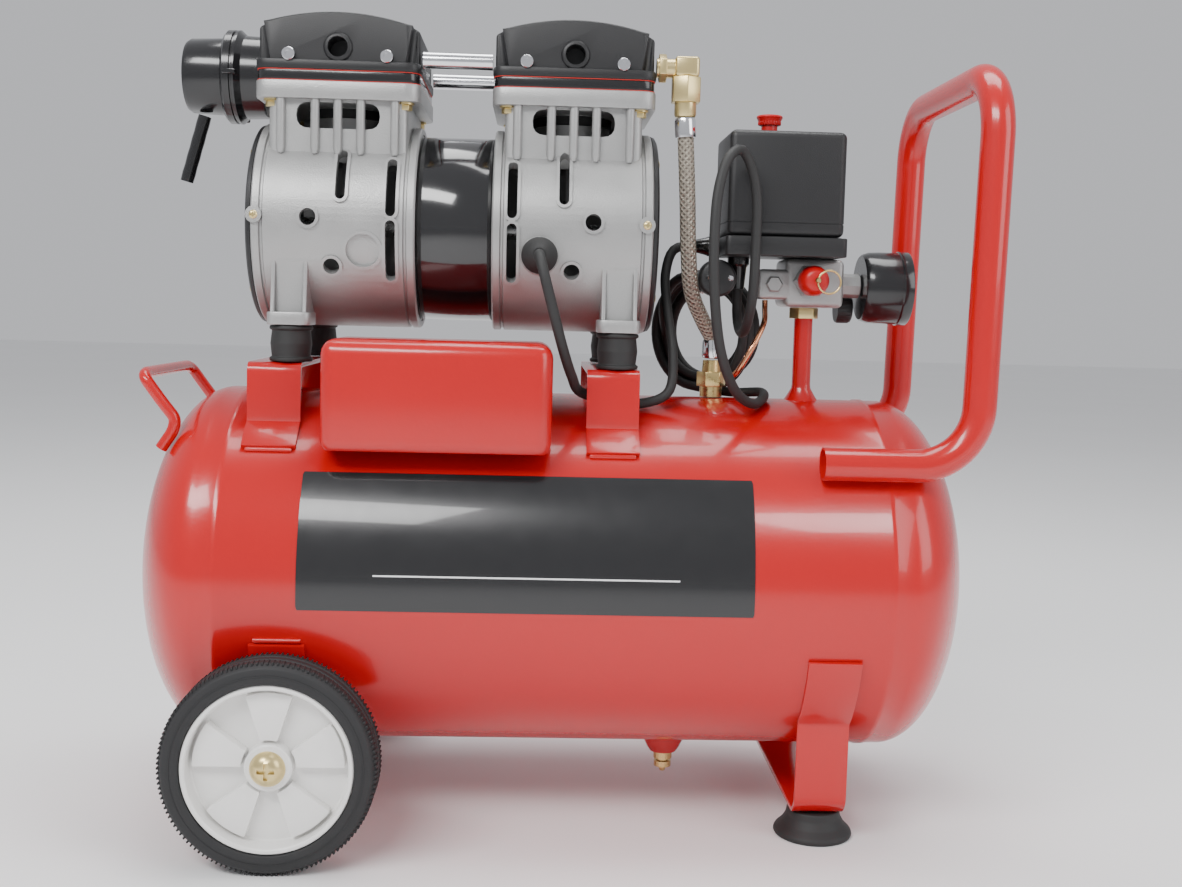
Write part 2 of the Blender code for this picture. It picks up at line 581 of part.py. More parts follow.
def moving_parts():
    """Rotor with shaft, crank pins and fans, and the two rods with their pistons."""
    spin = pivot("rotor_axis", (PUMP_X, 0, PUMP_Z))
    reach = 0.120
    shaft = put("rotor", cylinder("rotor", SHAFT_R, 2 * reach, 24), "steel", (-reach, 0, 0), TURNS["X"],
                spin)
    join(shaft, cylinder("rotor_core", 0.0325, 0.044, 24), (-0.022, 0, 0), TURNS["X"])
    for sign in (-1, 1):
        weight = cylinder("counterweight", 0.0200, 0.006, 20)
        join(shaft, weight, (sign * (HEAD_X - 0.0120) - 0.003, 0, -CRANK_R), TURNS["X"])
        eccentric = cylinder("eccentric", ECCENTRIC_R, 0.020, 20)
        join(shaft, eccentric, (sign * HEAD_X - 0.010, 0, CRANK_R), TURNS["X"])
        side = "left" if sign < 0 else "right"
        fan = turned("fan_" + side, "black_plastic",
                     [(0.0064, 0.0105), (0.0140, 0.0105), (0.0140, 0.0060), (0.0480, 0.0060), (0.0480, 0.0040),
                      (0.0140, 0.0040), (0.0140, -0.0020), (0.0064, -0.0020)],
                     (sign * 0.1130, 0, 0), "-X" if sign < 0 else "X", 20, spin)
        for k in range(6):
            blade = box("blade", (-0.0010, 0.0150, 0.0030), (0.0010, 0.0470, 0.0105))
            place = Matrix.Rotation(k * pi / 3, 4, "Z")
            blade.transform(place)
            join(fan, blade, fan.location, fan.rotation_euler)
        throw = pivot("piston_" + side + "_axis", (PUMP_X + sign * HEAD_X, 0, PUMP_Z + CRANK_R))
        rod_piece(side, throw)


def rod_piece(side, throw):
    """A wobble piston: a big end on the crank pin, a rod and a piston disc in one piece."""
    big_bore = ECCENTRIC_R + 2 * RUNNING_FIT
    big = turned("piston_" + side, "cast_aluminium",
                 [(big_bore, 0.0050), (0.0175, 0.0050), (0.0175, -0.0050), (big_bore, -0.0050)], (0, 0, 0),
                 "X", 20, throw)
    top = 0.4960 - PUMP_Z - CRANK_R
    join(big, box("rod", (-0.0035, -0.0060, 0.0155), (0.0035, 0.0060, top - 0.0040)), (0, 0, 0))
    join(big, cylinder("piston_disc", PISTON_R, 0.0060, 20), (0, 0, top - 0.0060))


def intake():
    """Air filter on the left head: can, cap and drip spout."""
    x = PUMP_X - HEAD_X - FLANGE_SIZE[0] / 2 - GAP
    z = 0.5128
    turned("air_filter", "black_plastic",
           [(0, 0.0560), (0.0215, 0.0560), (0.0255, 0.0520), (0.0262, 0.0262), (0.0318, 0.0262),
            (0.0318, 0.0185),
            (0.0276, 0.0150), (0.0276, 0.0), (0, 0.0)], (x, 0, z), "-X", 30)
    start = Vector((-0.2500, -0.0030, z - 0.0275))
    end = Vector((-0.2625, -0.0030, 0.4400))
    tube("filter_spout", "black_gloss", [start, start.lerp(end, 0.5), end], 0.0046, resolution=3)


def discharge():
    """Elbow on the right head, braided hose and the check valve on the tank."""
    face = PUMP_X + HEAD_X + FLANGE_SIZE[0] / 2 + GAP
    z, x, y = 0.5213, 0.0800, -0.0430
    elbow = put("discharge_elbow", box("discharge_elbow", (x - 0.0082, y - 0.0082, z - 0.0060),
                                       (x + 0.0082, y + 0.0082, z + 0.0075), 0.002, 2), "brass")
    join(elbow, cylinder("thread", 0.0064, x - face, 24), (face, y, z), TURNS["X"])
    join(elbow, cylinder("hex_nut", 0.0108, 0.0170, 6), (x, y, z - 0.0225))
    join(elbow, cylinder("collar", 0.0074, 0.0100, 24), (x, y, z - 0.0320))
    valve_x = 0.1090
    route = [(x, y, z - 0.0324), (x + 0.0012, y, 0.4700), (x + 0.0036, y + 0.002, 0.4350),
             (x + 0.0060, y + 0.008, 0.4000), (x + 0.0105, y + 0.019, 0.3720), (x + 0.0205, y + 0.034, 0.3530),
             (valve_x, 0.0, 0.3385), (valve_x, 0.0, 0.3256)]
    tube("discharge_hose", "braid", route, HOSE_R, 0.012, 2)
    turned("check_valve", "brass",
           [(0, 0.3246), (0.0062, 0.3246), (0.0068, 0.3170), (0.0105, 0.3165), (0.0105, 0.3060),
            (0.0080, 0.3055),
            (0.0080, tank_z(0) + 0.0006), (0, tank_z(0) + 0.0006)], (valve_x, 0, 0), "Z", 18)


# ---------------------------------------------------------------- capacitor, switch and fittings
def capacitor_box():
    """The red cover in front of the pump, hollow towards the tank, and the capacitor inside it."""
    x0, x1 = -0.1530, -0.0055
    y0, y1, z0, z1 = -0.1125, -0.0450, 0.2625, 0.3365
    cover = put("capacitor_cover", box("capacitor_cover", (x0, y0, z0), (x1, y1, z1), 0.010, 3), "red_paint")
    cut(cover, box("cover_hollow", (x0 + 0.003, y0 + 0.003, z0 - 0.02), (x1 - 0.003, y1 + 0.02, z1 - 0.003),
                   0.007, 2))
    cut(cover, cylinder("tank_clearance", TANK_R + GAP, 0.4, 96), (-0.3, 0, TANK_Z), TURNS["X"])
    turned("start_capacitor", "black_plastic", [(0, 0.105), (0.0155, 0.105), (0.0155, 0.0), (0, 0.0)],
           (-0.1320, -0.0830, 0.3010), "X", 28)


def switch():
    """Pressure switch: base, cover and pull knob, on the riser and its manifold."""
    x0, x1 = SWITCH_X
    y0, y1 = SWITCH_Y
    z0, z_split, z1 = SWITCH_Z
    base = put("switch_base", box("switch_base", (x0 - 0.001, y0 - 0.001, z0),
                                  (x1 + 0.0025, y1 + 0.001, z_split),
                                  0.0015, 1, "Z"), "black_plastic")
    join(base, cylinder("lead_gland", 0.0070, 0.0160, 20, end_radius=0.0045), (x0, 0, LEAD_END_Z), TURNS["-X"])
    gland = CORD_EXIT[2] + GAP
    join(base, cylinder("cord_gland", 0.0045, z0 - gland + 0.001, 20, end_radius=0.0075),
         (CORD_EXIT[0], CORD_EXIT[1], gland))
    cover = put("switch_cover", box("switch_cover", (x0, y0, z_split + GAP), (x1, y1, z1), 0.004, 3),
                "black_plastic")
    knob_x, knob_y = 0.1420, -0.0150
    cut(cover, cylinder("knob_well", 0.0062, 0.040, 24), (knob_x, knob_y, z1 - KNOB_DEPTH))
    slide = pivot("switch_knob_axis", (knob_x, knob_y, z1))
    turned("switch_knob", "red_plastic",
           [(0, 0.0140), (0.0086, 0.0140), (0.0092, 0.0128), (0.0078, 0.0100), (0.0074, 0.0072),
            (0.0056, 0.0068),
            (0.0056, -0.0092), (0, -0.0092)], (0, 0, 0), "Z", 28, slide)
    body = put("manifold", box("manifold", (0.1560, -0.0230, 0.3640), (0.1975, 0.0200, SWITCH_Z[0] - GAP),
                               0.004, 2),
               "cast_aluminium")
    join(body, box("manifold_arm", (0.1372, -0.0230, 0.3690), (0.160, -0.0045, 0.3900), 0.003, 1))
    join(body, cylinder("valve_boss", 0.0118, 0.012, 28), (RISER_X - 0.0010, -0.0200, 0.3823), TURNS["-Y"])
    join(body, cylinder("gauge_boss", 0.0085, 0.0168, 8, phase=pi / 8), (0.1950, -0.0060, 0.3800), TURNS["X"])
    valve_at = (RISER_X - 0.0010, -0.0324, 0.3823)
    turned("safety_valve", "red_plastic",
           [(0, 0.0150), (0.0060, 0.0150), (0.0092, 0.0120), (0.0104, 0.0040), (0.0104, 0), (0, 0)], valve_at,
           "-Y", 32)
    pull = pivot("relief_axis", (valve_at[0], valve_at[1] - 0.0150, valve_at[2]))
    pin = turned("relief_pull", "brass",
                 [(0, 0.0062), (0.0018, 0.0062), (0.0021, 0.0036), (0.0013, 0.0030), (0.0013, GAP), (0, GAP)],
                 (0, 0, 0), "-Y", 16, pull)
    bm = bmesh.new()
    ring_r, wire_r, sides = 0.0078, 0.0007, 16
    rows = []
    for k in range(sides):
        a = 2 * pi * k / sides
        rows.append([bm.verts.new(((ring_r + wire_r * cos(b)) * cos(a), wire_r * sin(b),
                                   (ring_r + wire_r * cos(b)) * sin(a))) for b in (0, pi / 2, pi, 3 * pi / 2)])
    for a, b in zip(rows, rows[1:] + rows[:1]):
        for k in range(4):
            bm.faces.new((a[k], a[k - 1], b[k - 1], b[k]))
    bmesh.ops.recalc_face_normals(bm, faces=bm.faces)
    join(pin, mesh_of(bm, "pull_ring"), (ring_r * 0.97, -0.0046, -0.0010))


def gauge():
    """Pressure gauge facing +X, with its stem and needle, and the regulator knob and outlet behind it."""
    axis = (-0.0060, 0.3790)
    x = 0.2075
    turned("gauge_case", "black_gloss",
           [(0, 0.0180), (0.0235, 0.0180), (0.0235, 0.0330), (0.0262, 0.0330), (0.0262, 0.0040), (0.0240, 0.0),
            (0, 0)], (x + 0.0048, axis[0], axis[1]), "X", 32)
    hinge = pivot("gauge_needle_axis", (x + 0.0048 + 0.0200, axis[0], axis[1]))
    needle = put("gauge_needle", box("gauge_needle", (0.0006, -0.0008, -0.0060), (0.0014, 0.0008, 0.0170)),
                 "black_plastic",
                 turn=(NEEDLE_ZERO, 0, 0), parent=hinge)
    join(needle, cylinder("needle_hub", 0.0026, 0.0020, 16), (0.0002, 0, 0), TURNS["X"])
    knob = pivot("regulator_axis", (0.1985, 0.0080, 0.3640))
    turned("regulator_knob", "black_plastic",
           [(0, 0.0110), (0.0090, 0.0110), (0.0105, 0.0090), (0.0105, 0.0), (0, 0.0)], (0, 0, 0), "X", 24, knob)
    turned("outlet_coupler", "brass",
           [(0, 0.0300 - OUTLET_DEPTH), (OUTLET_BORE, 0.0300 - OUTLET_DEPTH), (OUTLET_BORE, 0.0300),
            (0.0080, 0.0300),
            (0.0095, 0.0280), (0.0095, 0.0120), (0.0070, 0.0110), (0.0070, 0.0), (0, 0.0)],
           (0.1765, 0.0204, 0.3800), "Y", 24)


def leads():
    """Electric leads, the unloader tube and the mains cord with its coil and plug."""
    tube("motor_lead", "black_rubber",
         [(GLAND_AT[0], GLAND_AT[1] - 0.0160, GLAND_AT[2]), (-0.0158, -0.0965, 0.3924),
          (-0.0130, -0.1035, 0.3820),
          (-0.0070, -0.1030, 0.3600), (0.0000, -0.0960, 0.3350), (0.0070, -0.0780, 0.3150),
          (0.0140, -0.0570, 0.3030),
          (0.0352, -0.0470, 0.2975), (0.0560, -0.0440, 0.2955), (0.0740, -0.0430, 0.3030),
          (0.0780, -0.0300, 0.3300),
          (0.0745, -0.0160, 0.3600), (0.0735, -0.0060, 0.3860), (0.0800, 0.0000, 0.4030),
          (SWITCH_X[0] - 0.0164, 0.0, LEAD_END_Z)], LEAD_R, 0.013, 1)
    tube("unloader_tube", "copper",
         [(0.1190, -0.0120, 0.3120), (0.1240, -0.0260, 0.3180), (0.1330, -0.0300, 0.3350),
          (0.1420, -0.0220, 0.3520),
          (0.1450, -0.0060, 0.3630), (0.1450, -0.0050, 0.3684)], 0.0020, 0.006, 2)
    tube("power_cord", "black_rubber",
         [CORD_EXIT, (0.1255, -0.0020, 0.3680), (0.1255, -0.0021, 0.3605), (0.1256, -0.0090, 0.3505),
          (0.1260, -0.0270, 0.3450), (0.1265, -0.0460, 0.3520), (0.1275, -0.0590, 0.3700),
          (0.1284, -0.0600, 0.4100), (0.1276, -0.0610, 0.4380),
          (0.1225, -0.0640, 0.4570), (0.1150, -0.0700, 0.4660), (0.1060, -0.0790, 0.4600),
          (0.0990, -0.0870, 0.4400),
          (0.0965, -0.0910, 0.4100), (0.0980, -0.0900, 0.3700), (0.1050, -0.0800, 0.3320),
          (0.1180, -0.0640, 0.3060),
          (0.1330, -0.0450, 0.2970), (0.1440, -0.0220, 0.3010), (0.1440, -0.0040, 0.3028),
          (0.1375, 0.0050, 0.3020),
          (0.1273, 0.0148, 0.3010)], CORD_R, 0.014, 1)
    coil = turned("power_cord_coil", "black_rubber",
                  [(COIL_R - COIL_HALF, COIL_HALF * 0.7), (COIL_R - COIL_HALF * 0.5, COIL_HALF),
                   (COIL_R + COIL_HALF * 0.5, COIL_HALF), (COIL_R + COIL_HALF, COIL_HALF * 0.7),
                   (COIL_R + COIL_HALF, -COIL_HALF * 0.7), (COIL_R + COIL_HALF * 0.5, -COIL_HALF),
                   (COIL_R - COIL_HALF * 0.5, -COIL_HALF), (COIL_R - COIL_HALF, -COIL_HALF * 0.7)],
                  COIL_AT, "Y", 26)
    coil.rotation_euler = (-pi / 2, 0, COIL_TURN)
    tube("power_cord_tail", "black_rubber",
         [(0.0772, 0.0435, 0.3640), (0.0805, 0.0390, 0.3755), (0.0870, 0.0330, 0.3830),
          (0.0960, 0.0250, 0.3850),
          (0.1040, 0.0175, 0.3835), (PLUG_AT[0], 0.0105, PLUG_AT[2]),
          (PLUG_AT[0], PLUG_AT[1] + 0.0006, PLUG_AT[2])],
         CORD_R, 0.007, 1)
    plug = turned("mains_plug", "black_plastic",
                  [(0, 0.0330), (0.0120, 0.0330), (0.0130, 0.0310), (0.0130, 0.0200), (0.0080, 0.0100),
                   (0.0048, 0.0),
                   (0, 0.0)], PLUG_AT, "-Y", 24)
    for side in (-1, 1):
        join(plug, cylinder("plug_pin", 0.0020, 0.020, 10),
             (PLUG_AT[0] + side * 0.0065, PLUG_AT[1] - 0.0310, PLUG_AT[2]), TURNS["-Y"])


def stand_on_floor():
    """Lower everything from the drawing's datum to the floor."""
    for obj in list(PARTS.objects) + list(CUTTERS.objects):
        if obj.parent is None:
            obj.location.z -= FLOOR_Z


def main():
    """Build every group of pieces."""
    tank()
    drain()
    brackets()
    wheel("front", -1)
    wheel("rear", 1)
    handles()
    pump()
    capacitor_box()
    switch()
    gauge()
    leads()
    stand_on_floor()


main()
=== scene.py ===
"""The looks of a portable oil-free air compressor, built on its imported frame.

Heights are drawn from a datum 4 mm under the floor, as the frame's own source draws them, and every
piece is lowered onto the floor when it is kept.
"""

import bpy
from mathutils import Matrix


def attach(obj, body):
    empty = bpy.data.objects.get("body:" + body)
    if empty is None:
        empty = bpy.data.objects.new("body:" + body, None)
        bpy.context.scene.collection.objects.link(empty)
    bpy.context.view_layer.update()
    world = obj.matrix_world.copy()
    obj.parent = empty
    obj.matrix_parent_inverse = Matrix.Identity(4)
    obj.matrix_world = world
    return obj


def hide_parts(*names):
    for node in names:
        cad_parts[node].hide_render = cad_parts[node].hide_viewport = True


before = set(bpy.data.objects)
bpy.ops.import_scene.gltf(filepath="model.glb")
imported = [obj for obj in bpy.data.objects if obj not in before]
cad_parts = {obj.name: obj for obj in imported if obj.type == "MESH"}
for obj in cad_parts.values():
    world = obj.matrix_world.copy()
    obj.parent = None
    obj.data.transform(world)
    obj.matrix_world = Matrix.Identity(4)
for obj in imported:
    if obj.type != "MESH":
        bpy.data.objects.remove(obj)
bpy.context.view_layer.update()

import logging
from dataclasses import dataclass, field
from enum import Enum
from math import cos, pi, radians, sin, sqrt
from typing import Sequence, Union

import bmesh
import bpy
from mathutils import Matrix, Vector

LOG = logging.getLogger("compressor")
DATUM = 0.004
GAP = 0.0004
Pair = tuple[float, float]
Place = tuple[float, float, float]
Mesh = bmesh.types.BMesh


class Axis(Enum):
    """Where a turned piece's own +Z points."""

    X = Matrix.Rotation(pi / 2, 4, "Y")
    BACK_X = Matrix.Rotation(-pi / 2, 4, "Y")
    Y = Matrix.Rotation(-pi / 2, 4, "X")
    BACK_Y = Matrix.Rotation(pi / 2, 4, "X")
    Z = Matrix.Identity(4)
    DOWN = Matrix.Rotation(pi, 4, "X")


class Plane(Enum):
    """The plane that an outline is drawn in, with the axis that it is pushed out along."""

    XY = (0, 1, 2)
    XZ = (0, 2, 1)
    YZ = (1, 2, 0)


class Carve(Enum):
    """What a tool does to the piece it meets."""

    ADD = "UNION"
    CUT = "DIFFERENCE"


# ---------------------------------------------------------------- mesh work
def tidy(mesh: Mesh) -> Mesh:
    """Weld doubles and turn every face outwards."""
    bmesh.ops.remove_doubles(mesh, verts=mesh.verts, dist=1e-7)
    bmesh.ops.recalc_face_normals(mesh, faces=mesh.faces)
    return mesh


def together(*meshes: Mesh) -> Mesh:
    """Put several shells in one mesh."""
    whole = bmesh.new()
    for part in meshes:
        data = bpy.data.meshes.new("part")
        part.to_mesh(data)
        whole.from_mesh(data)
        part.free()
        bpy.data.meshes.remove(data)
    return whole


def moved(mesh: Mesh, at: Place = (0, 0, 0), axis: Axis = Axis.Z, spin: float = 0.0) -> Mesh:
    """Turn a mesh about its own axis, then along another one, and put it in place."""
    mesh.transform(Matrix.Translation(at) @ axis.value @ Matrix.Rotation(spin, 4, "Z"))
    return mesh


def soften(points: Sequence[Sequence[float]], radius: float, steps: int = 3, closed: bool = False) -> list[Vector]:
    """Round the corners of a path or an outline.

    Args:
        points: Its corners, in two or three coordinates.
        radius: How far from a corner the rounding starts, at most half of each side.
        steps: Pieces in each rounding.
        closed: True for an outline whose ends are corners too.

    Returns:
        The new points.
    """
    path = [Vector(p) for p in points]
    made = []
    for i, corner in enumerate(path):
        if not closed and i in (0, len(path) - 1):
            made.append(corner)
            continue
        before, after = path[i - 1] - corner, path[(i + 1) % len(path)] - corner
        reach = min(radius, before.length * 0.49, after.length * 0.49)
        a, b = corner + before.normalized() * reach, corner + after.normalized() * reach
        for k in range(steps + 1):
            t = k / steps
            made.append(a * (1 - t) ** 2 + corner * (2 * t * (1 - t)) + b * t ** 2)
    return made


def lathe(profile: Sequence[Pair], at: Place, axis: Axis = Axis.Z, steps: int = 64,
          corner: float = 0.0, closed: bool = False) -> Mesh:
    """Turn a profile of (radius, height) round an axis.

    Args:
        profile: The outline; it starts and ends on the axis, or is a closed ring.
        at: The place of its height 0.
        axis: Where its heights point.
        steps: Faces round it.
        corner: Rounding of the profile's corners.
        closed: True where the profile is a ring that never meets the axis.

    Returns:
        A closed mesh.
    """
    path = soften(profile, corner, 3, closed) if corner else [Vector(p) for p in profile]
    mesh = bmesh.new()
    rings = []
    for r, h in path:
        sides = steps if r > 1e-7 else 1
        rings.append([mesh.verts.new((r * cos(2 * pi * k / steps), r * sin(2 * pi * k / steps), h))
                      for k in range(sides)])
    pairs = list(zip(rings, rings[1:])) + ([(rings[-1], rings[0])] if closed else [])
    for low, high in pairs:
        for k in range(steps):
            corners = (low[k % len(low)], low[(k + 1) % len(low)], high[(k + 1) % len(high)], high[k % len(high)])
            ring = list(dict.fromkeys(corners))
            if len(ring) > 2:
                mesh.faces.new(ring)
    return tidy(moved(mesh, at, axis))


def edges_softened(mesh: Mesh, width: float, steps: int = 2, angle: float = 30.0) -> Mesh:
    """Round every edge of a mesh that is sharper than an angle."""
    sharp = [e for e in mesh.edges if len(e.link_faces) == 2 and e.calc_face_angle(0) > radians(angle)]
    bmesh.ops.bevel(mesh, geom=sharp, offset=width, segments=steps, affect="EDGES", profile=0.5,
                    clamp_overlap=True)
    return mesh


def slab(outline: Sequence[Sequence[float]], low: float, high: float, plane: Plane = Plane.XY,
         corner: float = 0.0, edge: float = 0.0) -> Mesh:
    """Push an outline out into a prism.

    Args:
        outline: Corners of the outline.
        low: Where the prism starts along the plane's third axis.
        high: Where it ends.
        plane: The plane that the outline is drawn in.
        corner: Rounding of the outline's corners.
        edge: Rounding of its edges.

    Returns:
        A closed mesh.
    """
    path = soften(outline, corner, 4, True) if corner else [Vector(p) for p in outline]
    mesh = bmesh.new()
    ends = []
    for level in (low, high):
        ring = []
        for a, b in path:
            place = [0.0, 0.0, 0.0]
            place[plane.value[0]], place[plane.value[1]], place[plane.value[2]] = a, b, level
            ring.append(mesh.verts.new(place))
        ends.append(ring)
        mesh.faces.new(ring)
    count = len(path)
    for k in range(count):
        mesh.faces.new((ends[0][k], ends[0][(k + 1) % count], ends[1][(k + 1) % count], ends[1][k]))
    tidy(mesh)
    return edges_softened(mesh, edge) if edge else mesh


def block(low: Place, high: Place, edge: float = 0.0, steps: int = 3) -> Mesh:
    """A box between two corners with rounded edges."""
    mesh = bmesh.new()
    bmesh.ops.create_cube(mesh, size=1.0)
    size = [high[i] - low[i] for i in range(3)]
    mesh.transform(Matrix.Translation([(high[i] + low[i]) / 2 for i in range(3)]) @ Matrix.Diagonal((*size, 1)))
    return edges_softened(mesh, edge, steps) if edge else mesh


def rectangle(centre: Pair, width: float, height: float) -> list[Pair]:
    """Corners of a rectangle round its middle."""
    return [(centre[0] + a * width / 2, centre[1] + b * height / 2) for a, b in ((-1, -1), (1, -1), (1, 1), (-1, 1))]


def smooth_route(points: Sequence[Place], spacing: float) -> list[Vector]:
    """Even points on a smooth curve through a route's own points.

    Args:
        points: The places the route passes.
        spacing: Distance between the new points.

    Returns:
        The new points, first and last kept.
    """
    route = [Vector(p) for p in points]
    route = [2 * route[0] - route[1]] + route + [2 * route[-1] - route[-2]]
    dense = []
    for i in range(1, len(route) - 2):
        p0, p1, p2, p3 = route[i - 1:i + 3]
        t1 = sqrt((p1 - p0).length)
        t2 = t1 + sqrt((p2 - p1).length)
        t3 = t2 + sqrt((p3 - p2).length)
        for k in range(16):
            t = t1 + (t2 - t1) * k / 16
            a1 = p0 * ((t1 - t) / t1) + p1 * (t / t1)
            a2 = p1 * ((t2 - t) / (t2 - t1)) + p2 * ((t - t1) / (t2 - t1))
            a3 = p2 * ((t3 - t) / (t3 - t2)) + p3 * ((t - t2) / (t3 - t2))
            b1 = a1 * ((t2 - t) / t2) + a2 * (t / t2)
            b2 = a2 * ((t3 - t) / (t3 - t1)) + a3 * ((t - t1) / (t3 - t1))
            dense.append(b1 * ((t2 - t) / (t2 - t1)) + b2 * ((t - t1) / (t2 - t1)))
    dense.append(route[-2])
    run = [0.0]
    for a, b in zip(dense, dense[1:]):
        run.append(run[-1] + (b - a).length)
    count = max(2, round(run[-1] / spacing))
    even, j = [], 0
    for k in range(count + 1):
        reach = run[-1] * k / count
        while j < len(run) - 2 and run[j + 1] < reach:
            j += 1
        even.append(dense[j].lerp(dense[j + 1], min(1.0, (reach - run[j]) / (run[j + 1] - run[j]))))
    return even


def sweep(route: Sequence[Vector], radius: Union[float, Sequence[float]], sides: int = 20,
          closed: bool = False, hollow: float = 0.0) -> Mesh:
    """Run a round section along a route, with a UV map that goes round it and along it.

    Args:
        route: Points of the centreline.
        radius: One radius, or one for each point.
        sides: Faces round the tube.
        closed: True where the route is a ring.
        hollow: Depth of the open ends of a tube, 0 for plain ends.

    Returns:
        A closed mesh.
    """
    mesh = bmesh.new()
    layer = mesh.loops.layers.uv.new("UVMap")
    route = [Vector(p) for p in route]
    count = len(route)
    radii = [radius] * count if isinstance(radius, float) else list(radius)
    tangents = []
    for i in range(count):
        before = route[i - 1] if closed or i else route[0]
        after = route[(i + 1) % count] if closed or i < count - 1 else route[-1]
        tangents.append((after - before).normalized())
    normal = tangents[0].orthogonal().normalized()
    rings, run = [], [0.0]
    for i in range(count):
        if i:
            normal = (normal - tangents[i] * normal.dot(tangents[i])).normalized()
            run.append(run[-1] + (route[i] - route[i - 1]).length)
        side = tangents[i].cross(normal)
        rings.append([mesh.verts.new(route[i] + (normal * cos(2 * pi * k / sides) + side * sin(2 * pi * k / sides))
                                     * radii[i]) for k in range(sides)])
    links = list(range(count if closed else count - 1))
    for i in links:
        far = rings[(i + 1) % count]
        for k in range(sides):
            face = mesh.faces.new((rings[i][k], rings[i][(k + 1) % sides], far[(k + 1) % sides], far[k]))
            end = run[i + 1] if i + 1 < count else run[i] + 0.001
            for loop, uv in zip(face.loops, ((k, run[i]), (k + 1, run[i]), (k + 1, end), (k, end))):
                loop[layer].uv = (uv[0] / sides, uv[1])
    if not closed:
        for i, inward in ((0, tangents[0]), (count - 1, -tangents[-1])):
            ring = rings[i]
            if hollow:
                steps = ((0.86, 0.0), (0.86, hollow))
                for scale, depth in steps:
                    inner = [mesh.verts.new(route[i] + (v.co - route[i]) * 1.0) for v in rings[i]]
                    for v, outer in zip(inner, rings[i]):
                        v.co = route[i] + (outer.co - route[i]) * scale + inward * depth
                    for k in range(sides):
                        mesh.faces.new((ring[k], ring[(k + 1) % sides], inner[(k + 1) % sides], inner[k]))
                    ring = inner
            mesh.faces.new(ring)
    bmesh.ops.recalc_face_normals(mesh, faces=mesh.faces)
    return mesh


def ring_of(centre: Place, radius: float, axis: Axis, steps: int = 40) -> list[Vector]:
    """Points of a circle round a place."""
    turn = Matrix.Translation(centre) @ axis.value
    return [turn @ Vector((radius * cos(2 * pi * k / steps), radius * sin(2 * pi * k / steps), 0)) for k in range(steps)]


def bead(route: Sequence[Place], radius: float = 0.0017) -> Mesh:
    """A weld bead with its ripples along a route."""
    points = smooth_route(route, 0.0012)
    return sweep(points, [radius * (0.82 + 0.18 * abs(sin(1.3 * k))) for k in range(len(points))], 10)


def beside(path: Sequence[Pair], distance: float) -> list[Vector]:
    """The same path moved sideways to its left by a distance."""
    line = [Vector(p) for p in path]
    made = []
    for i, p in enumerate(line):
        along = [(line[j + 1] - line[j]).normalized() for j in (i - 1, i) if 0 <= j < len(line) - 1]
        normals = [Vector((-d.y, d.x)) for d in along]
        middle = sum(normals, Vector((0, 0))).normalized()
        made.append(p + middle * (distance / max(0.5, middle.dot(normals[0]))))
    return made


def strip(path: Sequence[Pair], x: float, width: float, thickness: float) -> Mesh:
    """A strip of plate bent along a path in Y and Z.

    Args:
        path: Its inner side, from the front to the rear.
        x: The middle of its width.
        width: Width along X.
        thickness: Thickness to the path's left, or to its right if negative.

    Returns:
        A closed mesh with rounded bends and edges.
    """
    inner = soften(path, 0.004, 4)
    outline = list(inner) + list(reversed(beside(inner, thickness)))
    return slab(outline, x - width / 2, x + width / 2, Plane.YZ, edge=0.0006)


def shaped(base: Mesh, *steps: tuple[Carve, Mesh]) -> Mesh:
    """Carve a mesh with others, one after another.

    Args:
        base: The mesh that is carved.
        steps: What each tool does, and the tool.

    Returns:
        The result as one mesh.
    """
    def solid(mesh: Mesh) -> bpy.types.Object:
        """Hold a mesh in an object of its own."""
        data = bpy.data.meshes.new("tool")
        mesh.to_mesh(data)
        mesh.free()
        made = bpy.data.objects.new("tool", data)
        bpy.context.scene.collection.objects.link(made)
        return made

    body = solid(base)
    tools = []
    for how, tool in steps:
        tools.append(solid(tool))
        carve = body.modifiers.new(how.name, "BOOLEAN")
        carve.operation, carve.object, carve.solver = how.value, tools[-1], "MANIFOLD"
    data = bpy.data.meshes.new_from_object(body.evaluated_get(bpy.context.evaluated_depsgraph_get()))
    result = bmesh.new()
    result.from_mesh(data)
    for obj in [body, *tools]:
        bpy.data.objects.remove(obj)
    bmesh.ops.remove_doubles(result, verts=result.verts, dist=2e-6)
    bmesh.ops.dissolve_degenerate(result, edges=result.edges, dist=2e-6)
    return result


# ---------------------------------------------------------------- materials
class Term:
    """A value inside a material that can be written in sums and products."""

    def __init__(self, graph: "Graph", socket: bpy.types.NodeSocket) -> None:
        """Wrap an output socket."""
        self.graph, self.socket = graph, socket

    def _do(self, operation: str, *values: "Value") -> "Term":
        """Add one Math node."""
        return Term(self.graph, self.graph.node("ShaderNodeMath", {"operation": operation},
                                                dict(enumerate(values))).outputs[0])

    def __add__(self, other: "Value") -> "Term":
        """Sum."""
        return self._do("ADD", self, other)

    def __sub__(self, other: "Value") -> "Term":
        """Difference."""
        return self._do("SUBTRACT", self, other)

    def __rsub__(self, other: "Value") -> "Term":
        """Difference from a number."""
        return self._do("SUBTRACT", other, self)

    def __mul__(self, other: "Value") -> "Term":
        """Product."""
        return self._do("MULTIPLY", self, other)

    __radd__, __rmul__ = __add__, __mul__

    def over(self, edge: float) -> "Term":
        """1 where the value is greater than an edge."""
        return self._do("GREATER_THAN", self, edge)

    def wave(self) -> "Term":
        """Sine of the value."""
        return self._do("SINE", self)

    def most(self, other: "Value") -> "Term":
        """The greater of two values."""
        return self._do("MAXIMUM", self, other)

    def least(self, other: "Value") -> "Term":
        """The smaller of two values."""
        return self._do("MINIMUM", self, other)

    def size(self) -> "Term":
        """The value without its sign."""
        return self._do("ABSOLUTE", self)


Value = Union[Term, float, Sequence[float], bpy.types.NodeSocket]


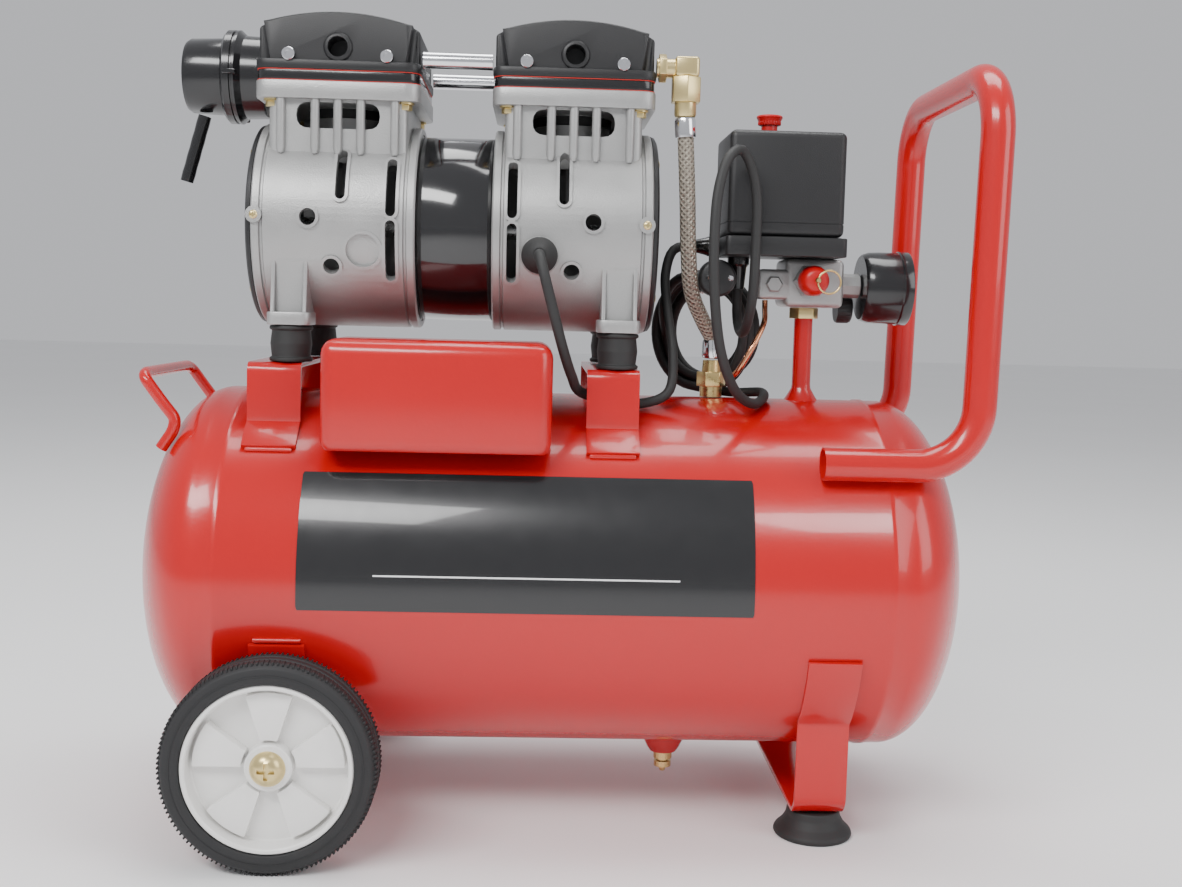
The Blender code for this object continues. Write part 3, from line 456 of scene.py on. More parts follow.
class Graph:
    """The nodes of one material."""

    def __init__(self, name: str) -> None:
        """Start a material with a plain shader."""
        self.material = bpy.data.materials.new(name)
        self.material.use_nodes = True
        self.tree = self.material.node_tree
        self.shader = self.tree.nodes["Principled BSDF"]

    def feed(self, socket: bpy.types.NodeSocket, value: Value) -> None:
        """Link a socket to a value, or set it."""
        if isinstance(value, Term):
            self.tree.links.new(value.socket, socket)
        elif isinstance(value, bpy.types.NodeSocket):
            self.tree.links.new(value, socket)
        else:
            socket.default_value = value

    def node(self, kind: str, settings: Union[dict, None] = None, inputs: Union[dict, None] = None) -> bpy.types.Node:
        """Add a node.

        Args:
            kind: Its type.
            settings: Its own settings, set first.
            inputs: Values or links of its sockets, by name or number.

        Returns:
            The node.
        """
        made = self.tree.nodes.new(kind)
        for key, value in (settings or {}).items():
            setattr(made, key, value)
        for key, value in (inputs or {}).items():
            self.feed(made.inputs[key], value)
        return made

    def place(self, kind: str = "Object") -> bpy.types.NodeSocket:
        """Coordinates on the piece."""
        return self.node("ShaderNodeTexCoord").outputs[kind]

    def noise(self, scale: float, detail: float = 2.0, where: Union[Value, None] = None) -> Term:
        """Cloudy pattern from 0 to 1."""
        made = self.node("ShaderNodeTexNoise", None, {"Vector": where or self.place(), "Scale": scale, "Detail": detail})
        return Term(self, made.outputs["Fac"])

    def split(self, where: Value) -> tuple[Term, Term, Term]:
        """The three numbers of a place."""
        made = self.node("ShaderNodeSeparateXYZ", None, {0: where})
        return tuple(Term(self, out) for out in made.outputs)

    def mix(self, amount: Value, first: Value, second: Value) -> bpy.types.NodeSocket:
        """A colour between two colours."""
        return self.node("ShaderNodeMix", {"data_type": "RGBA"}, {0: amount, 6: first, 7: second}).outputs[2]

    def bump(self, height: Value, depth: float, strength: float = 1.0) -> None:
        """Relief of the surface, in metres."""
        made = self.node("ShaderNodeBump", None, {"Height": height, "Distance": depth, "Strength": strength})
        self.feed(self.shader.inputs["Normal"], made.outputs["Normal"])


def rgb(colour: Sequence[float], shade: float = 1.0) -> tuple[float, float, float, float]:
    """A colour with alpha, lighter or darker by a factor."""
    return tuple(min(1.0, c * shade) for c in colour) + (1.0,)


@dataclass(frozen=True)
class Finish:
    """A finish of the object, which makes its own material once."""

    name: str
    slot: str
    colour: tuple[float, float, float]
    roughness: float
    metallic: float = 0.0
    coat: float = 0.0
    grain: float = 900.0
    depth: float = 0.00005
    variation: float = 0.10

    def material(self) -> bpy.types.Material:
        """Find or make the material."""
        known = bpy.data.materials.get(self.name)
        if known:
            return known
        graph = Graph(self.name)
        graph.feed(graph.shader.inputs["Metallic"], self.metallic)
        graph.feed(graph.shader.inputs["Coat Weight"], self.coat)
        graph.feed(graph.shader.inputs["Coat Roughness"], 0.05)
        self.dress(graph)
        return graph.material

    def dress(self, graph: Graph) -> None:
        """Colour clouds, uneven gloss and grain."""
        clouds = graph.noise(9.0, 3.0)
        specks = graph.noise(self.grain * 0.35, 2.0)
        colour = graph.mix(clouds * 0.6 + specks * 0.4, rgb(self.colour, 1 - self.variation),
                           rgb(self.colour, 1 + self.variation))
        graph.feed(graph.shader.inputs["Base Color"], colour)
        graph.feed(graph.shader.inputs["Roughness"], graph.noise(30.0) * 0.12 + (self.roughness - 0.06))
        graph.bump(graph.noise(self.grain, 3.0), self.depth)


@dataclass(frozen=True)
class PowderCoat(Finish):
    """Glossy coloured powder coat with a soft orange peel."""

    def dress(self, graph: Graph) -> None:
        """Even colour, faint clouds in the gloss, and orange peel."""
        clouds = graph.noise(6.0, 2.0)
        graph.feed(graph.shader.inputs["Base Color"], graph.mix(clouds, rgb(self.colour, 0.94), rgb(self.colour, 1.06)))
        dust = graph.noise(45.0, 5.0)
        graph.feed(graph.shader.inputs["Roughness"], dust * 0.08 + (self.roughness - 0.04))
        graph.bump(graph.noise(self.grain, 1.0) * 0.7 + graph.noise(self.grain * 0.3, 1.0) * 0.3, self.depth)


@dataclass(frozen=True)
class Casting(Finish):
    """Die-cast aluminium with a sandy skin and darker hollows of its mould."""

    def dress(self, graph: Graph) -> None:
        """Sandy grain, cloudy grey and faint flow marks."""
        clouds, sand = graph.noise(14.0, 4.0), graph.noise(self.grain, 3.0)
        flow = graph.noise(60.0, 4.0)
        colour = graph.mix(clouds * 0.5 + flow * 0.3 + sand * 0.2, rgb(self.colour, 0.80), rgb(self.colour, 1.14))
        graph.feed(graph.shader.inputs["Base Color"], colour)
        graph.feed(graph.shader.inputs["Roughness"], flow * 0.18 + (self.roughness - 0.09))
        graph.bump(sand * 0.7 + flow * 0.3, self.depth)


@dataclass(frozen=True)
class Plated(Finish):
    """Plated or polished metal, with a second tint that drifts over it."""

    tint: tuple[float, float, float] = (0.8, 0.8, 0.8)

    def dress(self, graph: Graph) -> None:
        """Drifting tint and fine scratches."""
        drift = graph.noise(70.0, 2.0)
        graph.feed(graph.shader.inputs["Base Color"], graph.mix(drift, rgb(self.colour), rgb(self.tint)))
        graph.feed(graph.shader.inputs["Roughness"], graph.noise(240.0, 4.0) * 0.16 + (self.roughness - 0.08))
        graph.bump(graph.noise(self.grain, 2.0), self.depth)


@dataclass(frozen=True)
class Braid(Finish):
    """Bands of steel wire that cross round a hose, on the piece's own UV map."""

    turns: float = 16.0
    pitch: float = 0.0040

    def dress(self, graph: Graph) -> None:
        """Two families of slanting wire bands, one over the other in turn, with their crests painted lighter and the
        troughs between them painted darker.
        """
        across, along, _ = graph.split(graph.place("UV"))
        rise = along * (2 * pi / self.pitch)
        turn = across * (2 * pi * self.turns / 2)
        left, right = (turn + rise).wave(), (turn - rise).wave()
        wires = ((turn + rise) * 4.0).wave() * left.over(0.0) + ((turn - rise) * 4.0).wave() * (1.0 - left.over(0.0))
        height = left.most(right) * 0.7 + wires * 0.3
        # Painted highlight and painted shade: the colour runs from 0.2 of the steel's colour in the troughs between the
        # wire bands to 1.7 of it on their crests.
        graph.feed(graph.shader.inputs["Base Color"],
                   graph.mix((height * 0.5 + 0.5).least(1.0), rgb(self.colour, 0.20), rgb(self.colour, 1.7)))
        graph.feed(graph.shader.inputs["Roughness"], 0.48 - height * 0.12)
        graph.bump(height, self.depth)


@dataclass(frozen=True)
class Panel(Finish):
    """A printed film with one thin light rule across it, on the piece's own UV map in metres."""

    width: float = 0.290
    height: float = 0.090
    reach: float = 0.097
    level: float = 0.0225
    rule: float = 0.0005
    ink: tuple[float, float, float] = (0.85, 0.85, 0.85)

    def dress(self, graph: Graph) -> None:
        """The rule as a narrow band at one height that stops short of both ends."""
        across, along, _ = graph.split(graph.place("UV"))
        within = 1.0 - (across - self.width / 2).size().over(self.reach)
        line = within * (1.0 - (along - self.level).size().over(self.rule))
        graph.feed(graph.shader.inputs["Base Color"], graph.mix(line, rgb(self.colour), rgb(self.ink)))
        graph.feed(graph.shader.inputs["Roughness"], graph.noise(80.0) * 0.10 + (self.roughness - 0.05))
        graph.bump(graph.noise(self.grain), self.depth)


RED = PowderCoat("red_powder_coat", "red_paint", (0.50, 0.001, 0.003), 0.24, coat=0.35, grain=420.0, depth=0.00006)
CAST = Casting("cast_skin", "cast_aluminium", (0.40, 0.40, 0.395), 0.42, 0.60, grain=1100.0, depth=0.00022)
STEEL = Plated("machined_steel", "bright_steel", (0.62, 0.62, 0.61), 0.28, 1.0, tint=(0.50, 0.50, 0.50))
CHROME = Plated("polished_chrome", "chrome", (0.82, 0.82, 0.84), 0.12, 1.0, depth=0.00001, tint=(0.74, 0.75, 0.78))
ZINC = Plated("yellow_zinc", "yellow_zinc", (0.80, 0.62, 0.25), 0.26, 1.0, tint=(0.62, 0.50, 0.34))
BRASS = Plated("machined_brass", "brass", (0.78, 0.58, 0.26), 0.28, 1.0, tint=(0.66, 0.50, 0.22))
COPPER = Plated("copper_tube", "copper", (0.80, 0.36, 0.20), 0.22, 1.0, tint=(0.64, 0.28, 0.15))
ENAMEL = Finish("black_enamel", "motor_iron", (0.008, 0.008, 0.009), 0.14, coat=0.8, grain=300.0, depth=0.00004)
GLOSS = Finish("black_gloss_moulding", "black_gloss", (0.010, 0.010, 0.011), 0.20, coat=0.3, depth=0.00002)
MATT = Finish("black_grained_moulding", "black_plastic", (0.011, 0.011, 0.012), 0.44, grain=1500.0, depth=0.00010)
RUBBER = Finish("black_rubber_skin", "black_rubber", (0.017, 0.017, 0.017), 0.62, grain=1100.0, depth=0.00008)
TYRE = Finish("tyre_rubber_skin", "tyre_rubber", (0.014, 0.014, 0.015), 0.66, grain=700.0, depth=0.00012)
WHITE = Finish("pale_moulding", "white_plastic", (0.80, 0.79, 0.77), 0.36, grain=800.0, depth=0.00003, variation=0.03)
RED_CAP = Finish("red_moulding", "red_plastic", (0.50, 0.002, 0.004), 0.34, grain=900.0, depth=0.00004)
GASKET = Finish("red_gasket", "red_plastic", (0.60, 0.03, 0.02), 0.55, depth=0.00004)
BRAID = Braid("steel_braid", "braid", (0.40, 0.36, 0.30), 0.36, 0.85, depth=0.0007)
FILM = Panel("label_film", "black_gloss", (0.009, 0.009, 0.010), 0.24, coat=0.5, depth=0.00001)
PAPER = Finish("dial_paper", "white_plastic", (0.85, 0.85, 0.84), 0.5, variation=0.02, depth=0.00001)


@dataclass(frozen=True)
class Glass(Finish):
    """Clear cover of the gauge."""

    def dress(self, graph: Graph) -> None:
        """A thin clear sheet that mostly lets the dial through."""
        graph.feed(graph.shader.inputs["Base Color"], rgb(self.colour))
        graph.feed(graph.shader.inputs["Roughness"], graph.noise(60.0) * 0.02 + 0.02)
        graph.feed(graph.shader.inputs["Alpha"], 0.12)


GLASS = Glass("gauge_glass", "black_gloss", (0.9, 0.9, 0.9), 0.02)


# ---------------------------------------------------------------- keeping pieces
def keep(name: str, mesh: Mesh, finish: Finish, body: str = "root", stands_for: Sequence[str] = (),
         angle: float = 38.0, edge: float = 0.0) -> bpy.types.Object:
    """Make a finished piece of a mesh, on its body.

    Args:
        name: The piece's name.
        mesh: Its mesh, drawn from the datum.
        finish: Its finish.
        body: The body of the frame that it moves with.
        stands_for: Nodes of the frame that it is shown in place of.
        angle: Edges sharper than this stay sharp.
        edge: Width of a live bevel on its edges, 0 for none.

    Returns:
        The object.
    """
    mesh.transform(Matrix.Translation((0, 0, -DATUM)))
    tidy(mesh)
    data = bpy.data.meshes.new(name)
    mesh.to_mesh(data)
    mesh.free()
    data.shade_smooth()
    data.set_sharp_from_angle(angle=radians(angle))
    data.materials.append(finish.material())
    piece = bpy.data.objects.new(name, data)
    bpy.context.scene.collection.objects.link(piece)
    if edge:
        bevel = piece.modifiers.new("edges", "BEVEL")
        bevel.width, bevel.segments, bevel.limit_method, bevel.angle_limit = edge, 2, "ANGLE", radians(40)
    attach(piece, body)
    if stands_for:
        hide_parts(*stands_for)
    LOG.info("%s: %d faces", name, len(data.polygons))
    return piece


class Repeats:
    """Geometry Nodes that set copies of one small solid, on points or round a ring."""

    def __init__(self) -> None:
        """Build both trees."""
        self.sockets: dict[str, dict[str, str]] = {}
        self.on_points = self._tree("fasteners_on_points", [("Head", "NodeSocketObject"), ("Size", "NodeSocketFloat")])
        self.round_ring = self._tree("ribs_round_a_ring", [("Count", "NodeSocketInt"), ("Seed turn", "NodeSocketFloat")])
        self._wire_points(self.on_points)
        self._wire_ring(self.round_ring)

    def _tree(self, name: str, inputs: Sequence[tuple[str, str]]) -> bpy.types.NodeTree:
        """Start a tree with named inputs and remember their identifiers."""
        tree = bpy.data.node_groups.new(name, "GeometryNodeTree")
        tree.interface.new_socket(name="Geometry", in_out="INPUT", socket_type="NodeSocketGeometry")
        self.sockets[name] = {}
        for label, kind in [*inputs, ("Finish", "NodeSocketMaterial")]:
            item = tree.interface.new_socket(name=label, in_out="INPUT", socket_type=kind)
            self.sockets[name][label] = item.identifier
        tree.interface.new_socket(name="Geometry", in_out="OUTPUT", socket_type="NodeSocketGeometry")
        return tree

    @staticmethod
    def _end(tree: bpy.types.NodeTree, source: bpy.types.Node, instances: bpy.types.NodeSocket) -> None:
        """Realise the copies, give them their finish and end the tree."""
        real = tree.nodes.new("GeometryNodeRealizeInstances")
        paint = tree.nodes.new("GeometryNodeSetMaterial")
        out = tree.nodes.new("NodeGroupOutput")
        tree.links.new(instances, real.inputs[0])
        tree.links.new(real.outputs[0], paint.inputs["Geometry"])
        tree.links.new(source.outputs["Finish"], paint.inputs["Material"])
        tree.links.new(paint.outputs[0], out.inputs[0])

    def _wire_points(self, tree: bpy.types.NodeTree) -> None:
        """Copies of the head on every point, along the point's own axis."""
        source = tree.nodes.new("NodeGroupInput")
        info = tree.nodes.new("GeometryNodeObjectInfo")
        axis = tree.nodes.new("GeometryNodeInputNamedAttribute")
        axis.data_type = "FLOAT_VECTOR"
        axis.inputs["Name"].default_value = "axis"
        align = tree.nodes.new("FunctionNodeAlignRotationToVector")
        align.axis = "Z"
        copies = tree.nodes.new("GeometryNodeInstanceOnPoints")
        tree.links.new(source.outputs["Head"], info.inputs["Object"])
        tree.links.new(axis.outputs["Attribute"], align.inputs["Vector"])
        tree.links.new(source.outputs["Geometry"], copies.inputs["Points"])
        tree.links.new(info.outputs["Geometry"], copies.inputs["Instance"])
        tree.links.new(align.outputs["Rotation"], copies.inputs["Rotation"])
        tree.links.new(source.outputs["Size"], copies.inputs["Scale"])
        self._end(tree, source, copies.outputs[0])

    def _wire_ring(self, tree: bpy.types.NodeTree) -> None:
        """Copies of the incoming solid, turned round Z by equal steps."""
        source = tree.nodes.new("NodeGroupInput")
        points = tree.nodes.new("GeometryNodePoints")
        index = tree.nodes.new("GeometryNodeInputIndex")
        part = tree.nodes.new("ShaderNodeMath")
        part.operation = "DIVIDE"
        whole = tree.nodes.new("ShaderNodeMath")
        whole.operation = "MULTIPLY_ADD"
        whole.inputs[1].default_value = 2 * pi
        turn = tree.nodes.new("ShaderNodeCombineXYZ")
        rotation = tree.nodes.new("FunctionNodeEulerToRotation")
        copies = tree.nodes.new("GeometryNodeInstanceOnPoints")
        tree.links.new(source.outputs["Count"], points.inputs["Count"])
        tree.links.new(index.outputs[0], part.inputs[0])
        tree.links.new(source.outputs["Count"], part.inputs[1])
        tree.links.new(part.outputs[0], whole.inputs[0])
        tree.links.new(source.outputs["Seed turn"], whole.inputs[2])
        tree.links.new(whole.outputs[0], turn.inputs["Z"])
        tree.links.new(turn.outputs[0], rotation.inputs[0])
        tree.links.new(points.outputs[0], copies.inputs["Points"])
        tree.links.new(source.outputs["Geometry"], copies.inputs["Instance"])
        tree.links.new(rotation.outputs[0], copies.inputs["Rotation"])
        self._end(tree, source, copies.outputs[0])

    def _run(self, tree: bpy.types.NodeTree, data: bpy.types.Mesh, values: dict) -> Mesh:
        """Run a tree on mesh data and return the plain result."""
        holder = bpy.data.objects.new("holder", data)
        bpy.context.scene.collection.objects.link(holder)
        nodes = holder.modifiers.new("nodes", "NODES")
        nodes.node_group = tree
        for label, value in values.items():
            nodes[self.sockets[tree.name][label]] = value
        made = bpy.data.meshes.new_from_object(holder.evaluated_get(bpy.context.evaluated_depsgraph_get()))
        result = bmesh.new()
        result.from_mesh(made)
        bpy.data.objects.remove(holder)
        return result

    def ring(self, solid: Mesh, count: int, finish: Finish, start: float = 0.0) -> Mesh:
        """Copies of a solid round Z.

        Args:
            solid: The solid, at its place in the first copy.
            count: How many there are.
            finish: Their finish.
            start: Angle of the first one.

        Returns:
            All of them as one mesh round the origin.
        """
        data = bpy.data.meshes.new("rib")
        solid.to_mesh(data)
        solid.free()
        return self._run(self.round_ring, data, {"Count": count, "Seed turn": start, "Finish": finish.material()})

    def heads(self, head: Mesh, places: Sequence[tuple[Place, Place]], finish: Finish, size: float = 1.0) -> Mesh:
        """Copies of a head on places.

        Args:
            head: The head, standing on the origin along +Z.
            places: Each one's place and axis.
            finish: Their finish.
            size: Scale of the head.

        Returns:
            All of them as one mesh.
        """
        pattern = bpy.data.meshes.new("head")
        head.to_mesh(pattern)
        head.free()
        holder = bpy.data.objects.new("head", pattern)
        data = bpy.data.meshes.new("points")
        data.from_pydata([place for place, _ in places], [], [])
        axes = data.attributes.new("axis", "FLOAT_VECTOR", "POINT")
        axes.data.foreach_set("vector", [c for _, axis in places for c in axis])
        made = self._run(self.on_points, data, {"Head": holder, "Size": size, "Finish": finish.material()})
        bpy.data.objects.remove(holder)
        return made


def hex_head(radius: float, height: float) -> Mesh:
    """A hexagon head with a washer under it."""
    washer = lathe([(0, height * 0.25), (radius * 1.25, height * 0.25), (radius * 1.25, 0), (0, 0)], (0, 0, 0), steps=18)
    points = [(radius * cos(k * pi / 3), radius * sin(k * pi / 3)) for k in range(6)]
    return together(washer, slab(points, height * 0.27, height, edge=radius * 0.08))


def cross_head(radius: float, height: float) -> Mesh:
    """A domed screw head with a cross recess."""
    dome = lathe([(0, height), (radius * 0.5, height * 0.92), (radius * 0.85, height * 0.55), (radius, 0), (0, 0)],
                 (0, 0, 0), steps=24)
    arm, half = radius * 0.5, radius * 0.12
    cross = shaped(block((-arm, -half, height * 0.45), (arm, half, height * 2)),
                   (Carve.ADD, block((-half, -arm, height * 0.45), (half, arm, height * 2))))
    return shaped(dome, (Carve.CUT, cross))


def cap_head(radius: float, height: float) -> Mesh:
    """A round socket-cap head."""
    top = height
    socket = radius * 0.52
    body = lathe([(0, top * 0.45), (socket, top * 0.45), (socket, top), (radius * 0.92, top), (radius, top * 0.9),
                  (radius, 0), (0, 0)], (0, 0, 0), steps=20)
    return body


# ---------------------------------------------------------------- tank and what is welded to it
@dataclass
class Tank:
    """The lying tank with its weld seams, riser pipe, drain and label."""

    radius: float = 0.123
    height: float = 0.175
    seam: float = 0.2165
    skirt: float = 0.012
    depth: float = 0.0555
    drain_x: float = 0.0825
    riser_x: float = 0.1741
    label_x: Pair = (-0.164, 0.126)
    label_angle: Pair = (-4.2, 37.8)

    def surface(self, y: float, extra: float = 0.0) -> float:
        """Height of the upper surface at a place across the tank."""
        return self.height + sqrt((self.radius + extra) ** 2 - y * y)

    def end_radius(self, x: float) -> float:
        """Radius at a place along the tank."""
        past = abs(x) - self.seam - self.skirt
        return self.radius if past <= 0 else self.radius * sqrt(max(0.0, 1 - (past / self.depth) ** 2))

    def half_profile(self) -> list[Pair]:
        """(radius, distance) from an end boss to the middle."""
        straight = self.seam + self.skirt
        end = straight + self.depth
        dome = [(self.radius * sin(radians(a)), straight + self.depth * cos(radians(a))) for a in range(8, 91, 4)]
        boss = [(0, end + 0.0052), (0.0035, end + 0.0052), (0.0045, end + 0.0060), (0.0115, end + 0.0060),
                (0.0125, end + 0.0050), (0.0127, end - 0.0006), (0.0150, end - 0.0012)]
        weld = [(self.radius, self.seam + 0.0030), (self.radius + 0.0007, self.seam + 0.0018),
                (self.radius + 0.0007, self.seam - 0.0018), (self.radius, self.seam - 0.0030)]
        return boss + [p for p in dome if p[0] > 0.0155] + weld

    def build(self, repeats: Repeats) -> None:
        """Make the tank's pieces."""
        half = self.half_profile()
        profile = half + [(r, -h) for r, h in reversed(half)]
        shell = lathe(profile, (0, 0, self.height), Axis.X, 128)
        low = self.height - self.radius
        drain_boss = lathe([(0, 0.004), (0.0185, 0.004), (0.0168, 0.0), (0.0145, -0.0050), (0.0118, -0.0105),
                            (0.0098, -0.0135), (0.0060, -0.0135), (0.0060, 0.0), (0, 0.0)],
                           (self.drain_x, 0, low), steps=48)
        keep("tank_shell_painted", together(shell, drain_boss), RED, stands_for=["tank_shell"])
        riser = lathe([(0, 0.3636), (0.0066, 0.3636), (0.0066, 0.3090), (0.0070, 0.3060), (0.0105, 0.3000),
                       (0.0125, 0.2972), (0.0120, 0.2940), (0, 0.2940)], (self.riser_x, 0, 0), steps=40)
        keep("riser_pipe", riser, RED)
        self.label()

    def label(self) -> None:
        """The label: a thin curved film with rounded corners and a rule."""
        mesh = bmesh.new()
        layer = mesh.loops.layers.uv.new("UVMap")
        x0, x1 = self.label_x
        a0, a1 = (radians(a) for a in self.label_angle)
        outer, inner = self.radius + 0.00035, self.radius - 0.0004
        length, arc = x1 - x0, self.radius * (a1 - a0)
        columns, rows, corner = 60, 40, 0.0008

        def point(u: float, v: float, r: float) -> Vector:
            """A place on the film from its distances along and across."""
            fold = max(0.0, corner - min(v, arc - v))
            cut = corner - sqrt(max(0.0, corner ** 2 - fold ** 2))
            x = x0 + cut + (length - 2 * cut) * u / length
            a = a0 + v / self.radius
            return Vector((x, -r * cos(a), self.height + r * sin(a)))
        levels = []
        for r in (outer, inner):
            levels.append([[mesh.verts.new(point(length * i / columns, arc * j / rows, r)) for j in range(rows + 1)]
                           for i in range(columns + 1)])
        for grid in levels:
            for i in range(columns):
                for j in range(rows):
                    face = mesh.faces.new((grid[i][j], grid[i + 1][j], grid[i + 1][j + 1], grid[i][j + 1]))
                    places = ((i, j), (i + 1, j), (i + 1, j + 1), (i, j + 1))
                    for loop, (a, b) in zip(face.loops, places):
                        loop[layer].uv = (length * a / columns, arc * b / rows)
        top, under = levels
        rim = [(i, 0) for i in range(columns)] + [(columns, j) for j in range(rows)]
        rim += [(i, rows) for i in range(columns, 0, -1)] + [(0, j) for j in range(rows, 0, -1)]
        for (i, j), (k, m) in zip(rim, rim[1:] + rim[:1]):
            mesh.faces.new((top[i][j], top[k][m], under[k][m], under[i][j]))
        keep("label_panel", mesh, FILM)


@dataclass
class Brackets:
    """Plates welded over and under the tank, with their beads, and the rubber foot."""

    tank: Tank
    width: float = 0.035
    thickness: float = 0.003
    top: float = 0.3188
    top_y: float = 0.0705
    leg_x: float = 0.1805
    leg_y: float = 0.090
    leg_z: float = 0.0228
    axle_x: float = -0.176
    axle_y: float = 0.113
    axle_z: float = 0.048
    foot_y: float = -0.068

    def on_tank(self, start: float, end: float, steps: int = 10) -> list[Pair]:
        """(y, z) along the tank's front between two heights."""
        r = self.tank.radius + GAP
        made = []
        for k in range(steps + 1):
            z = start + (end - start) * k / steps
            made.append((-sqrt(r * r - (z - self.tank.height) ** 2), z))
        return made

    def build(self, repeats: Repeats) -> None:
        """Make the plates, weld beads and the foot."""
        t = self.thickness
        mirror = lambda half: half + [(-y, z) for y, z in reversed(half)]
        for side, x in (("left", -0.1885), ("right", 0.0352)):
            y = self.top_y - t
            half = self.on_tank(0.2635, self.tank.surface(self.top_y - 0.004)) + [
                (-y, self.tank.surface(self.top_y) + 0.006), (-y, self.top - t)]
            keep(f"pump_bracket_{side}_plate", strip(mirror(half), x, self.width, t), RED,
                 stands_for=[f"pump_bracket_{side}"])
        knee = self.tank.height - sqrt(self.tank.radius ** 2 - (self.leg_y - t) ** 2)
        half = self.on_tank(0.137, knee) + [(-self.leg_y + t, self.leg_z + 0.010), (-self.leg_y + 0.010, self.leg_z + t)]
        keep("leg_bracket_plate", strip(mirror(half), self.leg_x, self.width, -t), RED, stands_for=["leg_bracket"])
        knee = self.tank.height - sqrt(self.tank.radius ** 2 - (self.axle_y - t) ** 2)
        half = self.on_tank(0.1435, knee) + [(-self.axle_y + t, self.axle_z + 0.008), (-self.axle_y + 0.010, self.axle_z + t)]
        plate = strip(mirror(half), self.axle_x, self.width, -t)
        hole = lathe([(0, 0.3), (0.0056, 0.3), (0.0056, 0), (0, 0)], (self.axle_x, 0.15, DATUM + 0.0678), Axis.BACK_Y, 32)
        keep("axle_bracket_plate", shaped(plate, (Carve.CUT, hole)), RED, stands_for=["axle_bracket"])
        self.beads()
        profile = [(0, 0), (0.0178, 0), (0.0186, -0.0050), (0.0215, -0.0100), (0.0262, -0.0145), (0.0268, -0.0168),
                   (0.0258, -0.0184), (0, -0.0184)]
        foot = lathe(profile, (self.leg_x, self.foot_y, self.leg_z - GAP), steps=56, corner=0.0012)
        keep("rubber_foot_bell", foot, RUBBER, stands_for=["rubber_foot"])
        bolt = lathe([(0, 0.0060), (0.0030, 0.0055), (0.0065, 0.0050), (0.0065, 0.0), (0, 0.0)],
                     (self.leg_x, self.foot_y, self.leg_z + t + 0.0001), steps=6)
        keep("foot_bolt", bolt, ZINC)

    def beads(self) -> None:
        """Weld beads along the plates' edges on the tank."""
        r = self.tank.radius + 0.0006
        made = []
        for x, height, half in ((self.leg_x, 0.1345, 0.0165), (self.axle_x, 0.1455, 0.0150),
                                (-0.1885, 0.2630, 0.0150), (0.0352, 0.2630, 0.0150)):
            for side in (-1, 1):
                y = side * sqrt(r * r - (height - self.tank.height) ** 2)
                made.append(bead([(x - half, y, height), (x, y, height), (x + half, y, height)], 0.0019))
        for side in (-1, 1):
            z = Handles.foot_height(self.tank) - 0.0092
            made.append(bead([(0.176, side * 0.0945, z), (0.192, side * 0.0945, z), (0.207, side * 0.0945, z)], 0.0022))
        keep("weld_beads", together(*made), RED)


@dataclass
class Handles:
    """The carry handle and the wire tow handle."""

    tank: Tank
    radius: float = 0.0109
    half_width: float = 0.1015
    x: float = 0.2715
    top: float = 0.5165
    bend: float = 0.040

    @staticmethod
    def foot_height(tank: Tank) -> float:
        """Height of the handle's lower tubes on the tank."""
        return tank.height + sqrt((tank.radius + 0.0109 + GAP) ** 2 - 0.1015 ** 2)

    @staticmethod
    def arc(centre: Pair, radius: float, start: float, end: float, steps: int = 14) -> list[Pair]:
        """Points on an arc, angles in degrees."""
        return [(centre[0] + radius * cos(radians(start + (end - start) * k / steps)),
                 centre[1] + radius * sin(radians(start + (end - start) * k / steps))) for k in range(steps + 1)]

    def build(self, repeats: Repeats) -> None:
        """Make both handles."""
        low = self.foot_height(self.tank)
        lower = [(0.1705, low), (0.200, low)] + self.arc((self.x - self.bend, low + self.bend), self.bend, -90, 0)
        side = [(x, -self.half_width, z) for x, z in lower]
        upper = self.arc((-self.half_width + self.bend, self.top - self.bend), self.bend, 180, 90)
        side += [(self.x + 0.003, y, z) for y, z in upper]
        route = [Vector(p) for p in side + [(x, -y, z) for x, y, z in reversed(side)]]
        keep("carry_handle_tube", sweep(route, self.radius, 36, hollow=0.02), RED, stands_for=["carry_handle"])
        rod, half = 0.004, 0.062

        def on_cap(x: float) -> float:
            """Height of the wire on the end cap."""
            past = (abs(x) - self.tank.seam - self.tank.skirt) / self.tank.depth
            slope = self.tank.radius / self.tank.depth * past / sqrt(1 - past * past)
            away = (rod + 0.0009) * sqrt(1 + slope * slope)
            return self.tank.height + sqrt((self.tank.end_radius(x) + away) ** 2 - half ** 2)
        side = [(-0.2640, -half, on_cap(-0.2640)), (-0.2560, -half, on_cap(-0.2560)),
                (-0.2545, -half, on_cap(-0.2545) + 0.0060), (-0.2630, -half, 0.2900), (-0.2735, -half, 0.3045),
                (-0.2755, -half + 0.003, 0.3075), (-0.2765, -half + 0.009, 0.3090)]
        route = side + [(x, -y, z) for x, y, z in reversed(side)]
        wire = soften(route, 0.006, 5)
        keep("tow_handle_wire", sweep(wire, rod, 20), RED, stands_for=["tow_handle"])


